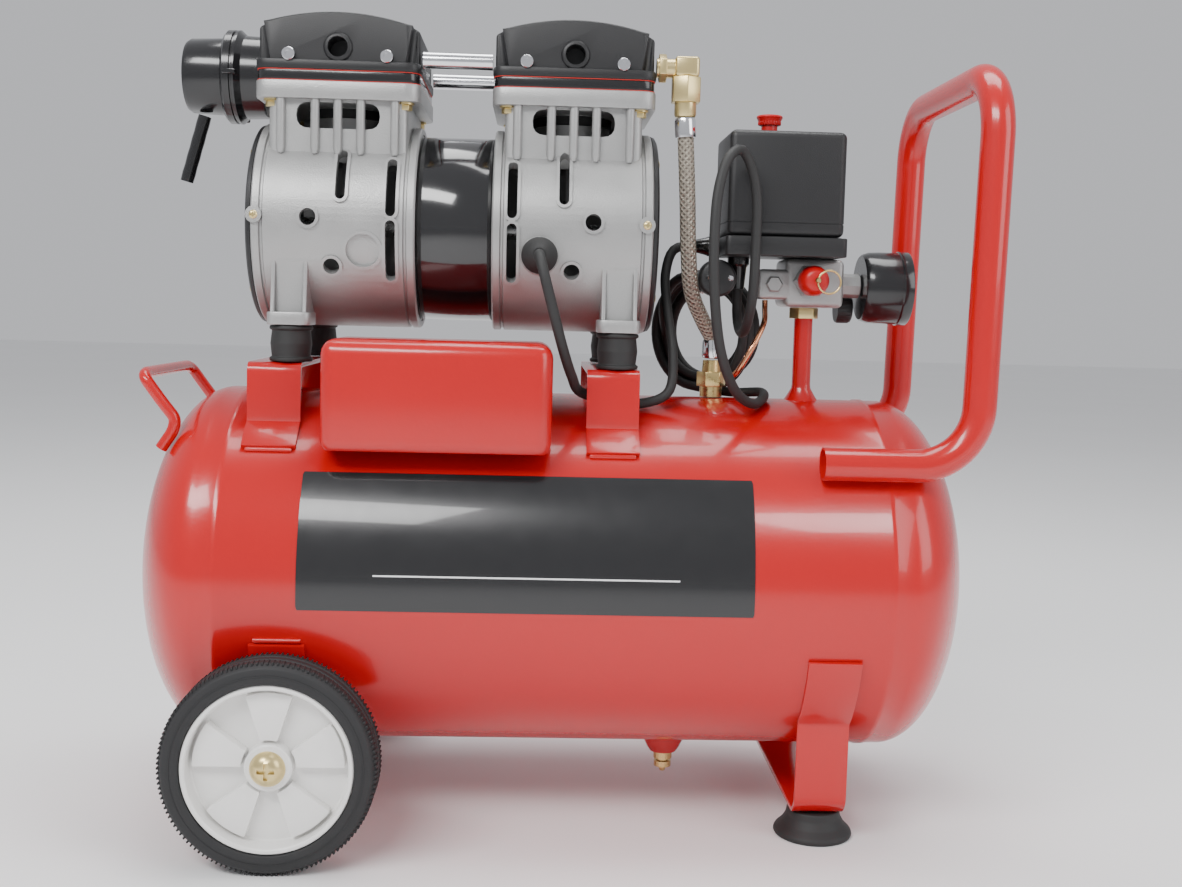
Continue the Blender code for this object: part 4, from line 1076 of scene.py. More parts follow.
# ---------------------------------------------------------------- wheels
@dataclass
class Wheel:
    """One wheel: ribbed tyre, moulded rim with raised sectors, and its bolt."""

    side: str
    sign: int
    x: float = -0.176
    radius: float = 0.0678
    outer: float = 0.1520
    width: float = 0.0315
    rim: float = 0.0533

    def build(self, repeats: Repeats) -> None:
        """Make the wheel's pieces on its own body."""
        at = (self.x, self.sign * (self.outer - self.width), DATUM + self.radius)
        out = Axis.Y if self.sign > 0 else Axis.BACK_Y
        w, body = self.width, f"wheel_{self.side}"
        tread = [(self.rim + GAP, w - 0.0008), (0.0575, w - 0.0002), (0.0640, w - 0.0010), (0.0668, w - 0.0050),
                 (0.0671, w - 0.0105), (0.0662, w - 0.0112), (0.0662, w - 0.0128), (0.0671, w - 0.0135),
                 (0.0671, 0.0135), (0.0662, 0.0128), (0.0662, 0.0112), (0.0671, 0.0105), (0.0668, 0.0050),
                 (0.0640, 0.0010), (0.0575, 0.0002), (self.rim + GAP, 0.0008)]
        tyre = lathe(tread, (0, 0, 0), steps=120, corner=0.0010, closed=True)
        outer_rib = block((0.0655, -0.0006, w - 0.0105), (self.radius - 0.0003, 0.0006, w - 0.0030), 0.0003, 1)
        inner_rib = block((0.0655, -0.0006, 0.0030), (self.radius - 0.0003, 0.0006, 0.0105), 0.0003, 1)
        ribs = [repeats.ring(outer_rib, 132, TYRE), repeats.ring(inner_rib, 132, TYRE, 0.024)]
        side_ring = lathe([(0.0590, w - 0.0020), (0.0590, w - 0.0001), (0.0598, w - 0.0001), (0.0598, w - 0.0020)],
                          (0, 0, 0), steps=96, closed=True)
        ribs.append(side_ring)
        keep(f"tyre_{self.side}_ribbed", moved(together(tyre, *ribs), at, out), TYRE, body,
             stands_for=[f"tyre_{self.side}"])
        bore = 0.0053
        profile = [(bore, w - 0.0060), (0.0138, w - 0.0060), (0.0148, w - 0.0068), (0.0152, w - 0.0150),
                   (0.0485, w - 0.0150), (0.0494, w - 0.0140), (0.0500, w - 0.0025), (0.0508, w - 0.0018),
                   (0.0526, w - 0.0018), (self.rim, w - 0.0026), (self.rim, 0.0026), (0.0526, 0.0018),
                   (0.0494, 0.0018), (0.0480, 0.0100), (0.0150, 0.0110), (0.0140, 0.0026), (bore, 0.0020)]
        rim = lathe(profile, (0, 0, 0), steps=96, closed=True)
        step = radians(36)
        sector = [(0.0170 * cos(step * k / 6), 0.0170 * sin(step * k / 6)) for k in range(7)]
        sector += [(0.0470 * cos(step * k / 12), 0.0470 * sin(step * k / 12)) for k in range(12, -1, -1)]
        raised = slab(sector, w - 0.0158, w - 0.0080, corner=0.0016, edge=0.0008)
        sectors = repeats.ring(raised, 5, WHITE, 0.0)
        hub = lathe([(bore + 0.0007, w - 0.0052), (0.0108, w - 0.0052), (0.0122, w - 0.0058), (0.0122, w - 0.0075),
                     (bore + 0.0007, w - 0.0075)], (0, 0, 0), steps=64, closed=True)
        keep(f"rim_{self.side}_moulded", moved(together(rim, sectors, hub), at, out), WHITE, body,
             stands_for=[f"rim_{self.side}"])
        self.bolt(at, out)

    def bolt(self, at: Place, out: Axis) -> None:
        """The bolt with its washer, domed cross head and nut."""
        head = self.width - 0.006 + GAP
        nut = 0.113 - 0.003 - GAP - (self.outer - self.width)
        shank = lathe([(0, head + 0.0010), (0.0052, head), (0.0052, nut - 0.0060), (0, nut - 0.0066)], (0, 0, 0), steps=32)
        dome = moved(cross_head(0.0108, 0.0062), (0, 0, head + 0.0008))
        washer = lathe([(0.0052, head + 0.0010), (0.0112, head + 0.0010), (0.0112, head), (0.0052, head)], (0, 0, 0),
                       steps=40, corner=0.0003, closed=True)
        hexagon = [(0.0085 * cos(k * pi / 3), 0.0085 * sin(k * pi / 3)) for k in range(6)]
        nut_mesh = slab(hexagon, nut - 0.0050, nut, edge=0.0006)
        keep(f"wheel_bolt_{self.side}_plated", moved(together(shank, dome, washer, nut_mesh), at, out), ZINC,
             stands_for=[f"wheel_bolt_{self.side}"])


# ---------------------------------------------------------------- pump
@dataclass
class PumpHalf:
    """One cast half of the pump with its head, gaskets, fan cover and rubber mounts."""

    side: str
    sign: int
    x: float = -0.073
    z: float = 0.412
    radius: float = 0.0694
    wall: float = 0.0045
    inner_x: float = 0.0252
    outer_x: float = 0.132
    head_x: float = 0.078
    flange: Pair = (0.109, 0.115)
    jacket: Pair = (0.092, 0.104)
    levels: tuple[float, ...] = (0.4921, 0.5038, 0.5042, 0.5106, 0.5110, 0.5174, 0.5400, 0.5490)
    bore: float = 0.0235
    mount_y: float = 0.055

    @property
    def head(self) -> float:
        """X of the cylinder's axis."""
        return self.x + self.sign * self.head_x

    @property
    def leg_x(self) -> float:
        """X of the cast legs."""
        return -0.1800 if self.sign < 0 else 0.0378

    def on_drum(self, x: float, angles: Pair, width: float, inner: float, outer: float, rows: int = 18) -> Mesh:
        """A slot-shaped pad that follows the drum's front.

        Args:
            x: Its middle along the drum.
            angles: Centres of its round ends, degrees above the horizontal.
            width: Its width.
            inner: Radius of its inner face.
            outer: Radius of its outer face.
            rows: Rows along it.

        Returns:
            A closed mesh.
        """
        mesh = bmesh.new()
        r = self.radius
        start, end = radians(angles[0]) * r, radians(angles[1]) * r
        half = width / 2
        spots = []
        for k in range(rows + 1):
            t = pi * k / rows
            along = (start + end) / 2 - cos(t) * ((end - start) / 2 + half)
            past = max(0.0, abs(along - (start + end) / 2) - (end - start) / 2)
            spots.append((along, sqrt(max(0.0, half * half - past * past))))
        grid = []
        for along, reach in spots:
            a = along / r
            row = []
            for level in (inner, outer):
                for edge in (-1, 1):
                    row.append(mesh.verts.new((x + edge * reach, -level * cos(a), self.z + level * sin(a))))
            grid.append(row)
        order = (0, 1, 3, 2)
        for a, b in zip(grid, grid[1:]):
            for k in range(4):
                m, n = order[k], order[(k + 1) % 4]
                mesh.faces.new((a[m], a[n], b[n], b[m]))
        for row in (grid[0], grid[-1]):
            mesh.faces.new([row[k] for k in order])
        bmesh.ops.remove_doubles(mesh, verts=mesh.verts, dist=1e-6)
        bmesh.ops.dissolve_degenerate(mesh, edges=mesh.edges, dist=1e-7)
        bmesh.ops.recalc_face_normals(mesh, faces=mesh.faces)
        return mesh

    def vents(self) -> list[tuple[float, Pair, float]]:
        """Place, angles and width of the slots and holes in the front."""
        if self.sign < 0:
            return [(-0.1470, (14.4, 39.2), 0.0066), (-0.1140, (5.9, 33.8), 0.0066), (-0.1140, (-29.7, -1.6), 0.0066),
                    (-0.1676, (1.8, 2.0), 0.0106), (-0.1527, (-24.7, -24.5), 0.0106)]
        return [(-0.0345, (6.7, 34.3), 0.0066), (-0.0345, (-28.9, -1.4), 0.0066), (-0.0005, (14.8, 41.4), 0.0066),
                (0.0191, (3.0, 3.2), 0.0106), (0.0055, (-24.4, -24.2), 0.0106)]

    def casting(self) -> None:
        """The cast body: drum, jacket, flange, legs, fins, raised rims, slots and windows."""
        ends = sorted((self.x + self.sign * self.inner_x, self.x + self.sign * self.outer_x))
        length, r = ends[1] - ends[0], self.radius
        profile = [(r - 0.0010, 0.0), (r, 0.0010), (r, 0.0052), (r - 0.0016, 0.0060), (r - 0.0016, 0.0072), (r, 0.0080),
                   (r, length - 0.0080), (r - 0.0016, length - 0.0072), (r - 0.0016, length - 0.0060),
                   (r, length - 0.0052), (r, length - 0.0010), (r - 0.0010, length)]
        drum = lathe([(0, 0), *profile, (0, length)], (ends[0], 0, self.z), Axis.X, 96)
        head, (jx, jy), (fx, fy) = self.head, self.jacket, self.flange
        jacket = slab(rectangle((head, 0), jx, jy), 0.440, self.levels[0] + 0.003, corner=0.006)
        flange = slab(rectangle((head, 0), fx, fy), self.levels[0], self.levels[1], corner=0.011, edge=0.0010)
        legs = []
        for y in (-self.mount_y, self.mount_y):
            out = -1 if y < 0 else 1
            legs.append(slab(rectangle((self.leg_x, y), 0.029, 0.029), 0.3434, 0.3520, corner=0.006, edge=0.0009))
            legs.append(slab(rectangle((self.leg_x, y - out * 0.0025), 0.0215, 0.0215), 0.3500, 0.3880, corner=0.004))
            for side in (-1, 1):
                rib = [(y + out * 0.0135, 0.3500), (y + out * 0.0120, 0.3600), (y + out * 0.0080, 0.3960),
                       (y - out * 0.0200, 0.3960), (y - out * 0.0200, 0.3500)]
                edge = self.leg_x + side * 0.0105
                legs.append(slab(rib, edge - 0.0013, edge + 0.0013, Plane.YZ, edge=0.0006))
        rods = []
        for offset in (-0.0375, -0.0150, 0.0, 0.0150, 0.0375):
            for y in (-jy / 2 - 0.0012, jy / 2 + 0.0012):
                rods.append(lathe([(0, 0.4930), (0.0030, 0.4930), (0.0030, 0.4600), (0.0020, 0.4570), (0, 0.4560)],
                                  (head + offset, y, 0), steps=20))
        pads = [self.on_drum(x, angles, width + 0.0040, r - 0.004, r + 0.0015) for x, angles, width in self.vents()]
        tab_x = -0.2025 if self.sign < 0 else 0.0547
        pads.append(self.on_drum(tab_x, (2.2, 2.4), 0.0105, r - 0.004, r + 0.0016))
        if self.sign > 0:
            pads.append(lathe([(0, 0.0060), (0.0122, 0.0060), (0.0128, 0.0052), (0.0128, -0.0040), (0, -0.0040)],
                              (-0.0159, -0.0638, 0.3932), Axis.BACK_Y, 40))
        else:
            pads.append(self.on_drum(-0.132, (-15.7, -15.5), 0.0264, r - 0.004, r + 0.0008))
        hollow = lathe([(0, length + 0.01), (r - self.wall, length + 0.01), (r - self.wall, -0.01), (0, -0.01)],
                       (ends[0], 0, self.z), Axis.X, 64)
        inside = block((head - jx / 2 + 0.004, -jy / 2 + 0.004, self.z),
                       (head + jx / 2 - 0.004, jy / 2 - 0.004, self.levels[0] - 0.001), 0.003)
        window = slab(rectangle((head, 0.4820), 0.055, 0.017), -0.2, 0.2, Plane.XZ, corner=0.010)
        cuts = [self.on_drum(x, angles, width, 0.055, 0.080) for x, angles, width in self.vents()]
        bore = lathe([(0, 0.52), (self.bore + 0.0028, 0.52), (self.bore + 0.0028, 0.45), (0, 0.45)], (head, 0, 0), steps=48)
        steps = [(Carve.ADD, jacket), (Carve.ADD, flange), *[(Carve.ADD, leg) for leg in legs],
                 *[(Carve.ADD, pad) for pad in pads],
                 (Carve.CUT, hollow), (Carve.CUT, inside), (Carve.CUT, window), (Carve.CUT, together(*cuts)),
                 (Carve.CUT, bore)]
        if self.sign < 0:
            disc = self.on_drum(-0.132, (-15.7, -15.5), 0.0220, r - 0.0022, r + 0.004)
            steps.append((Carve.CUT, disc))
        steps += [(Carve.ADD, rod) for rod in rods]
        keep(f"crankcase_{self.side}_cast", shaped(drum, *steps), CAST, stands_for=[f"crankcase_{self.side}"],
             angle=32.0)

    def inside(self) -> None:
        """Cylinder liner with a black band that stands in for the deep shadow at the top of its window (painted shade),
        and the bearing wall.
        """
        head, bottom, top = self.head, 0.4540, self.levels[1]
        liner = lathe([(self.bore, top), (self.bore + 0.0026, top), (self.bore + 0.0026, bottom), (self.bore, bottom)],
                      (head, 0, 0), steps=64, closed=True)
        keep(f"liner_{self.side}", liner, CAST)
        # Painted shade: this black rubber band fills the top of the window, where the jacket's inside is only in deep
        # shadow.
        band = lathe([(self.bore + 0.0028, 0.4905), (self.bore + 0.0040, 0.4900), (self.bore + 0.0040, 0.4845),
                      (self.bore + 0.0028, 0.4840)], (head, 0, 0), steps=64, closed=True)
        keep(f"liner_band_{self.side}", band, RUBBER)
        start = self.x + self.sign * (self.inner_x + 0.0006)
        wall = lathe([(0.0061, 0.004), (self.radius - self.wall - 0.0004, 0.004), (self.radius - self.wall - 0.0004, 0.0),
                      (0.0061, 0.0)], (start, 0, self.z), Axis.X if self.sign > 0 else Axis.BACK_X, 64, closed=True)
        keep(f"bearing_wall_{self.side}", wall, CAST)

    def head_stack(self, repeats: Repeats) -> None:
        """Gaskets, valve plate, arched cover with its port bosses, and the screws."""
        head, (fx, fy), lv = self.head, self.flange, self.levels
        for name, low, high in (("lower", lv[1] + 0.00002, lv[2] - 0.00002), ("upper", lv[3] + 0.00002, lv[4] - 0.00002)):
            keep(f"gasket_{name}_{self.side}",
                 slab(rectangle((head, 0), fx - 0.0012, fy - 0.0012), low, high, corner=0.0105), GASKET)
        plate = slab(rectangle((head, 0), fx - 0.002, fy - 0.002), lv[2], lv[3], corner=0.0105, edge=0.0005)
        keep(f"valve_plate_{self.side}_cast", plate, GLOSS, stands_for=[f"valve_plate_{self.side}"])
        foot = slab(rectangle((head, 0), fx, fy), lv[4], lv[5], corner=0.011, edge=0.0012)
        hx = fx / 2 - 0.0016
        outline = [(-hx, lv[4] + 0.002), (hx, lv[4] + 0.002), (hx, lv[6] - 0.0010)]
        outline += [(hx * k / 12, lv[7] - (lv[7] - lv[6]) * (k / 12) ** 2) for k in range(11, -12, -1)]
        outline += [(-hx, lv[6] - 0.0010)]
        crown = slab([(head + x, z) for x, z in outline], -fy / 2 + 0.0022, fy / 2 - 0.0022, Plane.XZ)
        for edge in [e for e in crown.edges if abs(e.verts[0].co.z - e.verts[1].co.z) > 0.015]:
            edge.select = True
        bmesh.ops.bevel(crown, geom=[e for e in crown.edges if e.select], offset=0.008, segments=5, affect="EDGES")
        edges_softened(crown, 0.0022, 3, 40.0)
        boss = [(0, 0.0048), (0.0080, 0.0048), (0.0094, 0.0036), (0.0104, 0.0), (0, 0.0)]
        bosses = [lathe(boss, (head, -fy / 2 + 0.0050, 0.5260), Axis.BACK_Y, 40),
                  lathe(boss, (head, fy / 2 - 0.0050, 0.5260), Axis.Y, 40)]
        port = lathe([(0, 0.030), (0.0066, 0.030), (0.0066, -0.018), (0, -0.018)], (head, -fy / 2 - 0.002, 0.5260),
                     Axis.BACK_Y, 32)
        cover = shaped(foot, (Carve.ADD, crown), (Carve.ADD, together(*bosses)), (Carve.CUT, port))
        keep(f"head_cover_{self.side}_moulded", cover, MATT, stands_for=[f"head_cover_{self.side}"], angle=42.0)
        places = [((head + a * 0.0320, -fy / 2 + 0.0020, 0.5205), (0, -1, 0)) for a in (-1, 1)]
        places += [((head + a * 0.0320, fy / 2 - 0.0020, 0.5205), (0, 1, 0)) for a in (-1, 1)]
        keep(f"head_studs_{self.side}", repeats.heads(cap_head(0.0042, 0.0034), places, CHROME), CHROME)
        nuts = [((head + a * (fx / 2 - 0.0105), b * (fy / 2 - 0.0095), 0.4921), (0, 0, -1)) for a in (-1, 1)
                for b in (-1, 1)]
        keep(f"flange_nuts_{self.side}", repeats.heads(hex_head(0.0045, 0.0050), nuts, ZINC), ZINC)

    def fan_cover(self, repeats: Repeats) -> None:
        """The black cover at the drum's outer end: rims, radial bars and screws."""
        at = (self.x + self.sign * (self.outer_x + GAP), 0, self.z)
        out = Axis.X if self.sign > 0 else Axis.BACK_X
        outer = lathe([(0.0575, 0.0030), (0.0600, 0.0040), (0.0655, 0.0036), (0.0678, 0.0022), (0.0685, 0.0),
                       (0.0575, 0.0)], (0, 0, 0), steps=96, closed=True)
        hub = lathe([(0.0180, 0.0034), (0.0190, 0.0042), (0.0250, 0.0038), (0.0260, 0.0), (0.0180, 0.0)],
                    (0, 0, 0), steps=64, closed=True)
        middle = lathe([(0.0405, 0.0036), (0.0432, 0.0036), (0.0432, 0.0004), (0.0405, 0.0004)], (0, 0, 0), steps=80,
                       closed=True)
        bars = repeats.ring(block((0.0250, -0.0012, 0.0003), (0.0585, 0.0012, 0.0034), 0.0004, 1), 28, MATT)
        keep(f"fan_cover_{self.side}_grille", moved(together(outer, hub, middle, bars), at, out), MATT,
             stands_for=[f"fan_cover_{self.side}"])
        places = [((at[0] + self.sign * 0.0034, 0.0628 * cos(a), self.z + 0.0628 * sin(a)), (self.sign, 0, 0))
                  for a in (radians(45 + 90 * k) for k in range(4))]
        keep(f"fan_cover_screws_{self.side}", repeats.heads(cross_head(0.0032, 0.0009), places, ZINC), ZINC)

    def mounts(self) -> None:
        """Rubber mounts with a plate at each end, under the legs."""
        for row, y in (("front", -self.mount_y), ("rear", self.mount_y)):
            low, high, r = 0.3188 + GAP, 0.3430, 0.0143
            profile = [(0, high), (r - 0.0006, high), (r, high - 0.0010), (r, high - 0.0024), (r - 0.0016, high - 0.0032),
                       (r - 0.0006, (low + high) / 2), (r - 0.0016, low + 0.0032), (r, low + 0.0024),
                       (r, low + 0.0010), (r - 0.0006, low), (0, low)]
            keep(f"rubber_mount_{row}_{self.side}_block", lathe(profile, (self.leg_x, y, 0), steps=48, corner=0.0006),
                 RUBBER, stands_for=[f"rubber_mount_{row}_{self.side}"])

    def build(self, repeats: Repeats) -> None:
        """Make this half."""
        self.casting()
        self.inside()
        self.head_stack(repeats)
        self.fan_cover(repeats)
        self.mounts()
        tab = -0.2025 if self.sign < 0 else 0.0547
        screw = [((tab, -self.radius - 0.0013, self.z + 0.0027), (0, -1, 0))]
        keep(f"drum_screw_{self.side}", repeats.heads(cross_head(0.0030, 0.0012), screw, ZINC), ZINC)


@dataclass
class Pump:
    """What joins the two halves, the intake and the discharge."""

    x: float = -0.073
    z: float = 0.412
    barrel: float = 0.0635
    half: float = 0.0248

    def build(self, repeats: Repeats) -> None:
        """Make the barrel, transfer tubes, filter and elbow."""
        r, h = self.barrel, self.half
        profile = [(r - 0.0022, h), (r - 0.0006, h), (r, h - 0.0008), (r, -h + 0.0008), (r - 0.0006, -h), (r - 0.0022, -h),
                   (r - 0.0022, -0.0220), (0.0335, -0.0220), (0.0335, 0.0220), (r - 0.0022, 0.0220)]
        keep("motor_barrel_enamelled", lathe(profile, (self.x, 0, self.z), Axis.X, 112, closed=True), ENAMEL,
             stands_for=["motor_stator"])
        for row, y in (("front", -0.043), ("rear", 0.043)):
            reach = 0.078 - 0.0545 - GAP
            tube = lathe([(0, reach), (0.0056, reach), (0.0056, -reach), (0, -reach)], (self.x, y, 0.5213), Axis.X, 40)
            keep(f"transfer_tube_{row}_polished", tube, CHROME, stands_for=[f"transfer_tube_{row}"])
        self.filter(repeats)
        self.elbow()
        gland = lathe([(0, 0.0150), (0.0046, 0.0150), (0.0054, 0.0142), (0.0095, 0.0110), (0.0116, 0.0042),
                       (0.0120, 0.0036), (0.0120, 0), (0, 0)], (-0.0159, -0.0698 - GAP, 0.3932), Axis.BACK_Y, 48)
        keep("cable_gland_sleeve", gland, RUBBER, stands_for=["cable_gland"])

    def filter(self, repeats: Repeats) -> None:
        """The air filter: can, clamp ring with its ribs, cap and drip spout."""
        at = (self.x - 0.078 - 0.0545 - GAP, 0, 0.5128)
        can = lathe([(0, 0.0560), (0.0200, 0.0560), (0.0235, 0.0552), (0.0252, 0.0525), (0.0262, 0.0290), (0.0300, 0.0284),
                     (0.0318, 0.0266), (0.0318, 0.0222), (0.0306, 0.0218), (0.0306, 0.0208), (0.0318, 0.0204),
                     (0.0318, 0.0188), (0.0300, 0.0170), (0.0282, 0.0150), (0.0276, 0.0), (0, 0.0)], (0, 0, 0), steps=80)
        lugs = repeats.ring(block((0.0270, -0.0016, 0.0172), (0.0332, 0.0016, 0.0262), 0.0006, 1), 3, GLOSS, 0.5)
        keep("air_filter_can", moved(together(can, lugs), at, Axis.BACK_X), GLOSS, stands_for=["air_filter"])
        start, end = Vector((-0.2500, -0.0030, 0.4853)), Vector((-0.2625, -0.0030, 0.4400))
        spout = sweep([start.lerp(end, k / 8) for k in range(9)], [0.0044 + 0.0002 * (k % 2) for k in range(9)], 28,
                      hollow=0.012)
        keep("filter_spout_tube", spout, GLOSS, stands_for=["filter_spout"])

    def elbow(self) -> None:
        """The discharge elbow with its nut and the hose's upper ferrule."""
        face, z, x, y = self.x + 0.078 + 0.0545 + GAP, 0.5213, 0.0800, -0.0430
        body = block((x - 0.0082, y - 0.0082, z - 0.0060), (x + 0.0082, y + 0.0082, z + 0.0075), 0.0022, 3)
        thread = lathe([(0, x - face), (0.0064, x - face), (0.0064, 0), (0, 0)], (face, y, z), Axis.X, 32)
        hexagon = [(x + 0.0108 * cos(k * pi / 3 + pi / 6), y + 0.0108 * sin(k * pi / 3 + pi / 6)) for k in range(6)]
        lock = [(face + 0.0015, -0.0092), (face + 0.0015, 0.0092)]
        ring = [(0.0096 * cos(k * pi / 3), 0.0096 * sin(k * pi / 3)) for k in range(6)]
        lock_nut = moved(slab(ring, 0.0014, 0.0064, edge=0.0005), (face, y, z), Axis.X)
        nut = slab(hexagon, z - 0.0225, z - 0.0055, edge=0.0008)
        collar = lathe([(0, z - 0.0220), (0.0074, z - 0.0220), (0.0074, z - 0.0305), (0.0066, z - 0.0320), (0, z - 0.0320)],
                       (x, y, 0), steps=40)
        keep("discharge_elbow_plated", shaped(body, (Carve.ADD, thread), (Carve.ADD, nut), (Carve.ADD, collar),
                                              (Carve.ADD, lock_nut)), ZINC, stands_for=["discharge_elbow"])


# ---------------------------------------------------------------- electrics and fittings
@dataclass
class Switch:
    """Capacitor cover, pressure switch, manifold, safety valve, gauge, regulator and check valve."""

    x: Pair = (0.1107, 0.1902)
    y: Pair = (-0.050, 0.020)
    z: tuple[float, float, float] = (0.3982, 0.4110, 0.4822)
    riser_x: float = 0.1741
    exit: Place = (0.1255, -0.0020, 0.3755)

    def capacitor(self, repeats: Repeats) -> None:
        """The red cover over the start capacitor."""
        low, high = (-0.1530, -0.1125, 0.2625), (-0.0055, -0.0450, 0.3365)
        cover = block(low, high, 0.010, 5)
        hollow = block((low[0] + 0.003, low[1] + 0.003, low[2] - 0.02), (high[0] - 0.003, high[1] + 0.02, high[2] - 0.003),
                       0.007, 3)
        drum = lathe([(0, 0.5), (0.123 + GAP, 0.5), (0.123 + GAP, 0), (0, 0)], (-0.3, 0, 0.175), Axis.X, 160)
        keep("capacitor_cover_pressed", shaped(cover, (Carve.CUT, hollow), (Carve.CUT, drum)), RED,
             stands_for=["capacitor_cover"])

    def boxes(self, repeats: Repeats) -> None:
        """Base, cover, glands and knob of the pressure switch."""
        (x0, x1), (y0, y1), (z0, split, z1) = self.x, self.y, self.z
        base = slab(rectangle(((x0 + x1 + 0.0015) / 2, (y0 + y1) / 2), x1 - x0 + 0.0035, y1 - y0 + 0.002), z0, split,
                    corner=0.004, edge=0.0008)
        step = slab(rectangle(((x0 + x1) / 2, (y0 + y1) / 2), x1 - x0 - 0.002, y1 - y0 - 0.002), split - 0.001,
                    split + 0.0003, corner=0.004)
        keep("switch_base_moulded", together(base, step), MATT, stands_for=["switch_base"])
        glands = [lathe([(0, 0.0160), (0.0040, 0.0160), (0.0046, 0.0150), (0.0062, 0.0080), (0.0070, 0.0062),
                         (0.0070, 0), (0, 0)], (x0 - 0.0010, 0, 0.4055), Axis.BACK_X, 36)]
        gland = self.exit[2] + GAP
        glands.append(lathe([(0, z0 + 0.0004), (0.0078, z0 + 0.0004), (0.0078, z0 - 0.0050), (0.0060, z0 - 0.0070),
                             (0.0046, gland), (0, gland)], (self.exit[0], self.exit[1], 0), steps=36))
        keep("switch_glands", together(*glands), GLOSS)
        cover = block((x0, y0, split + GAP), (x1, y1, z1), 0.0045, 4)
        well = lathe([(0, 0.030), (0.0062, 0.030), (0.0062, -0.0165), (0, -0.0165)], (0.1420, -0.0150, z1), steps=32)
        collar = lathe([(0.0062, 0.0006), (0.0098, 0.0006), (0.0104, -0.0010), (0.0062, -0.0010)], (0.1420, -0.0150, z1),
                       steps=40, closed=True)
        line = shaped(block((x0 - 0.01, y0 - 0.01, split + 0.0090), (x1 + 0.01, y1 + 0.01, split + 0.0098)),
                      (Carve.CUT, block((x0 + 0.0005, y0 + 0.0005, split), (x1 - 0.0005, y1 - 0.0005, split + 0.02), 0.004)))
        keep("switch_cover_moulded", together(shaped(cover, (Carve.CUT, well), (Carve.CUT, line)), collar), MATT,
             stands_for=["switch_cover"])
        knob = lathe([(0, 0.0140), (0.0078, 0.0140), (0.0088, 0.0136), (0.0092, 0.0126), (0.0078, 0.0100),
                      (0.0074, 0.0072), (0.0056, 0.0068), (0.0056, -0.0092), (0, -0.0092)], (0, 0, 0), steps=56)
        flutes = repeats.ring(block((0.0070, -0.0004, 0.0074), (0.0080, 0.0004, 0.0100), 0.0002, 1), 24, RED_CAP)
        keep("switch_knob_moulded", moved(together(knob, flutes), (0.1420, -0.0150, z1)), RED_CAP, "knob",
             stands_for=["switch_knob"])
        screw = repeats.heads(cross_head(0.0032, 0.0008), [((0.1740, -0.0150, z1), (0, 0, 1))], CHROME)
        keep("switch_cover_screw", screw, CHROME)

    def manifold(self, repeats: Repeats) -> None:
        """The cast manifold with its bosses and fittings."""
        body = block((0.1560, -0.0230, 0.3640), (0.1975, 0.0200, self.z[0] - GAP), 0.0040, 3)
        arm = block((0.1372, -0.0230, 0.3690), (0.160, -0.0045, 0.3900), 0.003, 3)
        boss = lathe([(0, 0.012), (0.0104, 0.012), (0.0118, 0.0108), (0.0118, 0), (0, 0)],
                     (self.riser_x - 0.0010, -0.0200, 0.3823), Axis.BACK_Y, 6)
        stem = lathe([(0, 0.0168), (0.0076, 0.0168), (0.0085, 0.0160), (0.0085, 0), (0, 0)], (0.1950, -0.0060, 0.3800),
                     Axis.X, 8)
        plug = lathe([(0, 0.0030), (0.0050, 0.0030), (0.0060, 0.0020), (0.0060, -0.0010), (0, -0.0010)],
                     (0.1480, -0.0230, 0.3795), Axis.BACK_Y, 6)
        keep("manifold_cast", shaped(body, (Carve.ADD, arm), (Carve.ADD, boss), (Carve.ADD, stem), (Carve.ADD, plug)), CAST,
             stands_for=["manifold"])
        nut = [(0.0105 * cos(k * pi / 3), 0.0105 * sin(k * pi / 3)) for k in range(6)]
        keep("riser_nut", moved(slab(nut, 0.3560, 0.3638, edge=0.0006), (self.riser_x, 0, 0)), ZINC)
        valve = (self.riser_x - 0.0010, -0.0324, 0.3823)
        body = lathe([(0, 0.0150), (0.0056, 0.0150), (0.0072, 0.0142), (0.0090, 0.0122), (0.0104, 0.0050), (0.0104, 0.0006),
                      (0.0098, 0), (0, 0)], (0, 0, 0), steps=56)
        flutes = repeats.ring(block((0.0094, -0.0005, 0.0008), (0.0104, 0.0005, 0.0060), 0.0002, 1), 28, RED_CAP)
        keep("safety_valve_cap", moved(together(body, flutes), valve, Axis.BACK_Y), RED_CAP, stands_for=["safety_valve"])
        pin = lathe([(0, 0.0062), (0.0014, 0.0062), (0.0019, 0.0056), (0.0021, 0.0038), (0.0013, 0.0030), (0.0013, GAP),
                     (0, GAP)], (valve[0], valve[1] - 0.0150, valve[2]), Axis.BACK_Y, 28)
        centre = (valve[0] + 0.0078 * 0.97, valve[1] - 0.0196, valve[2] - 0.0010)
        ring = sweep(ring_of(centre, 0.0078, Axis.Y, 48), 0.0007, 12, closed=True)
        keep("relief_pull_ring", together(pin, ring), BRASS, "relief", stands_for=["relief_pull"])

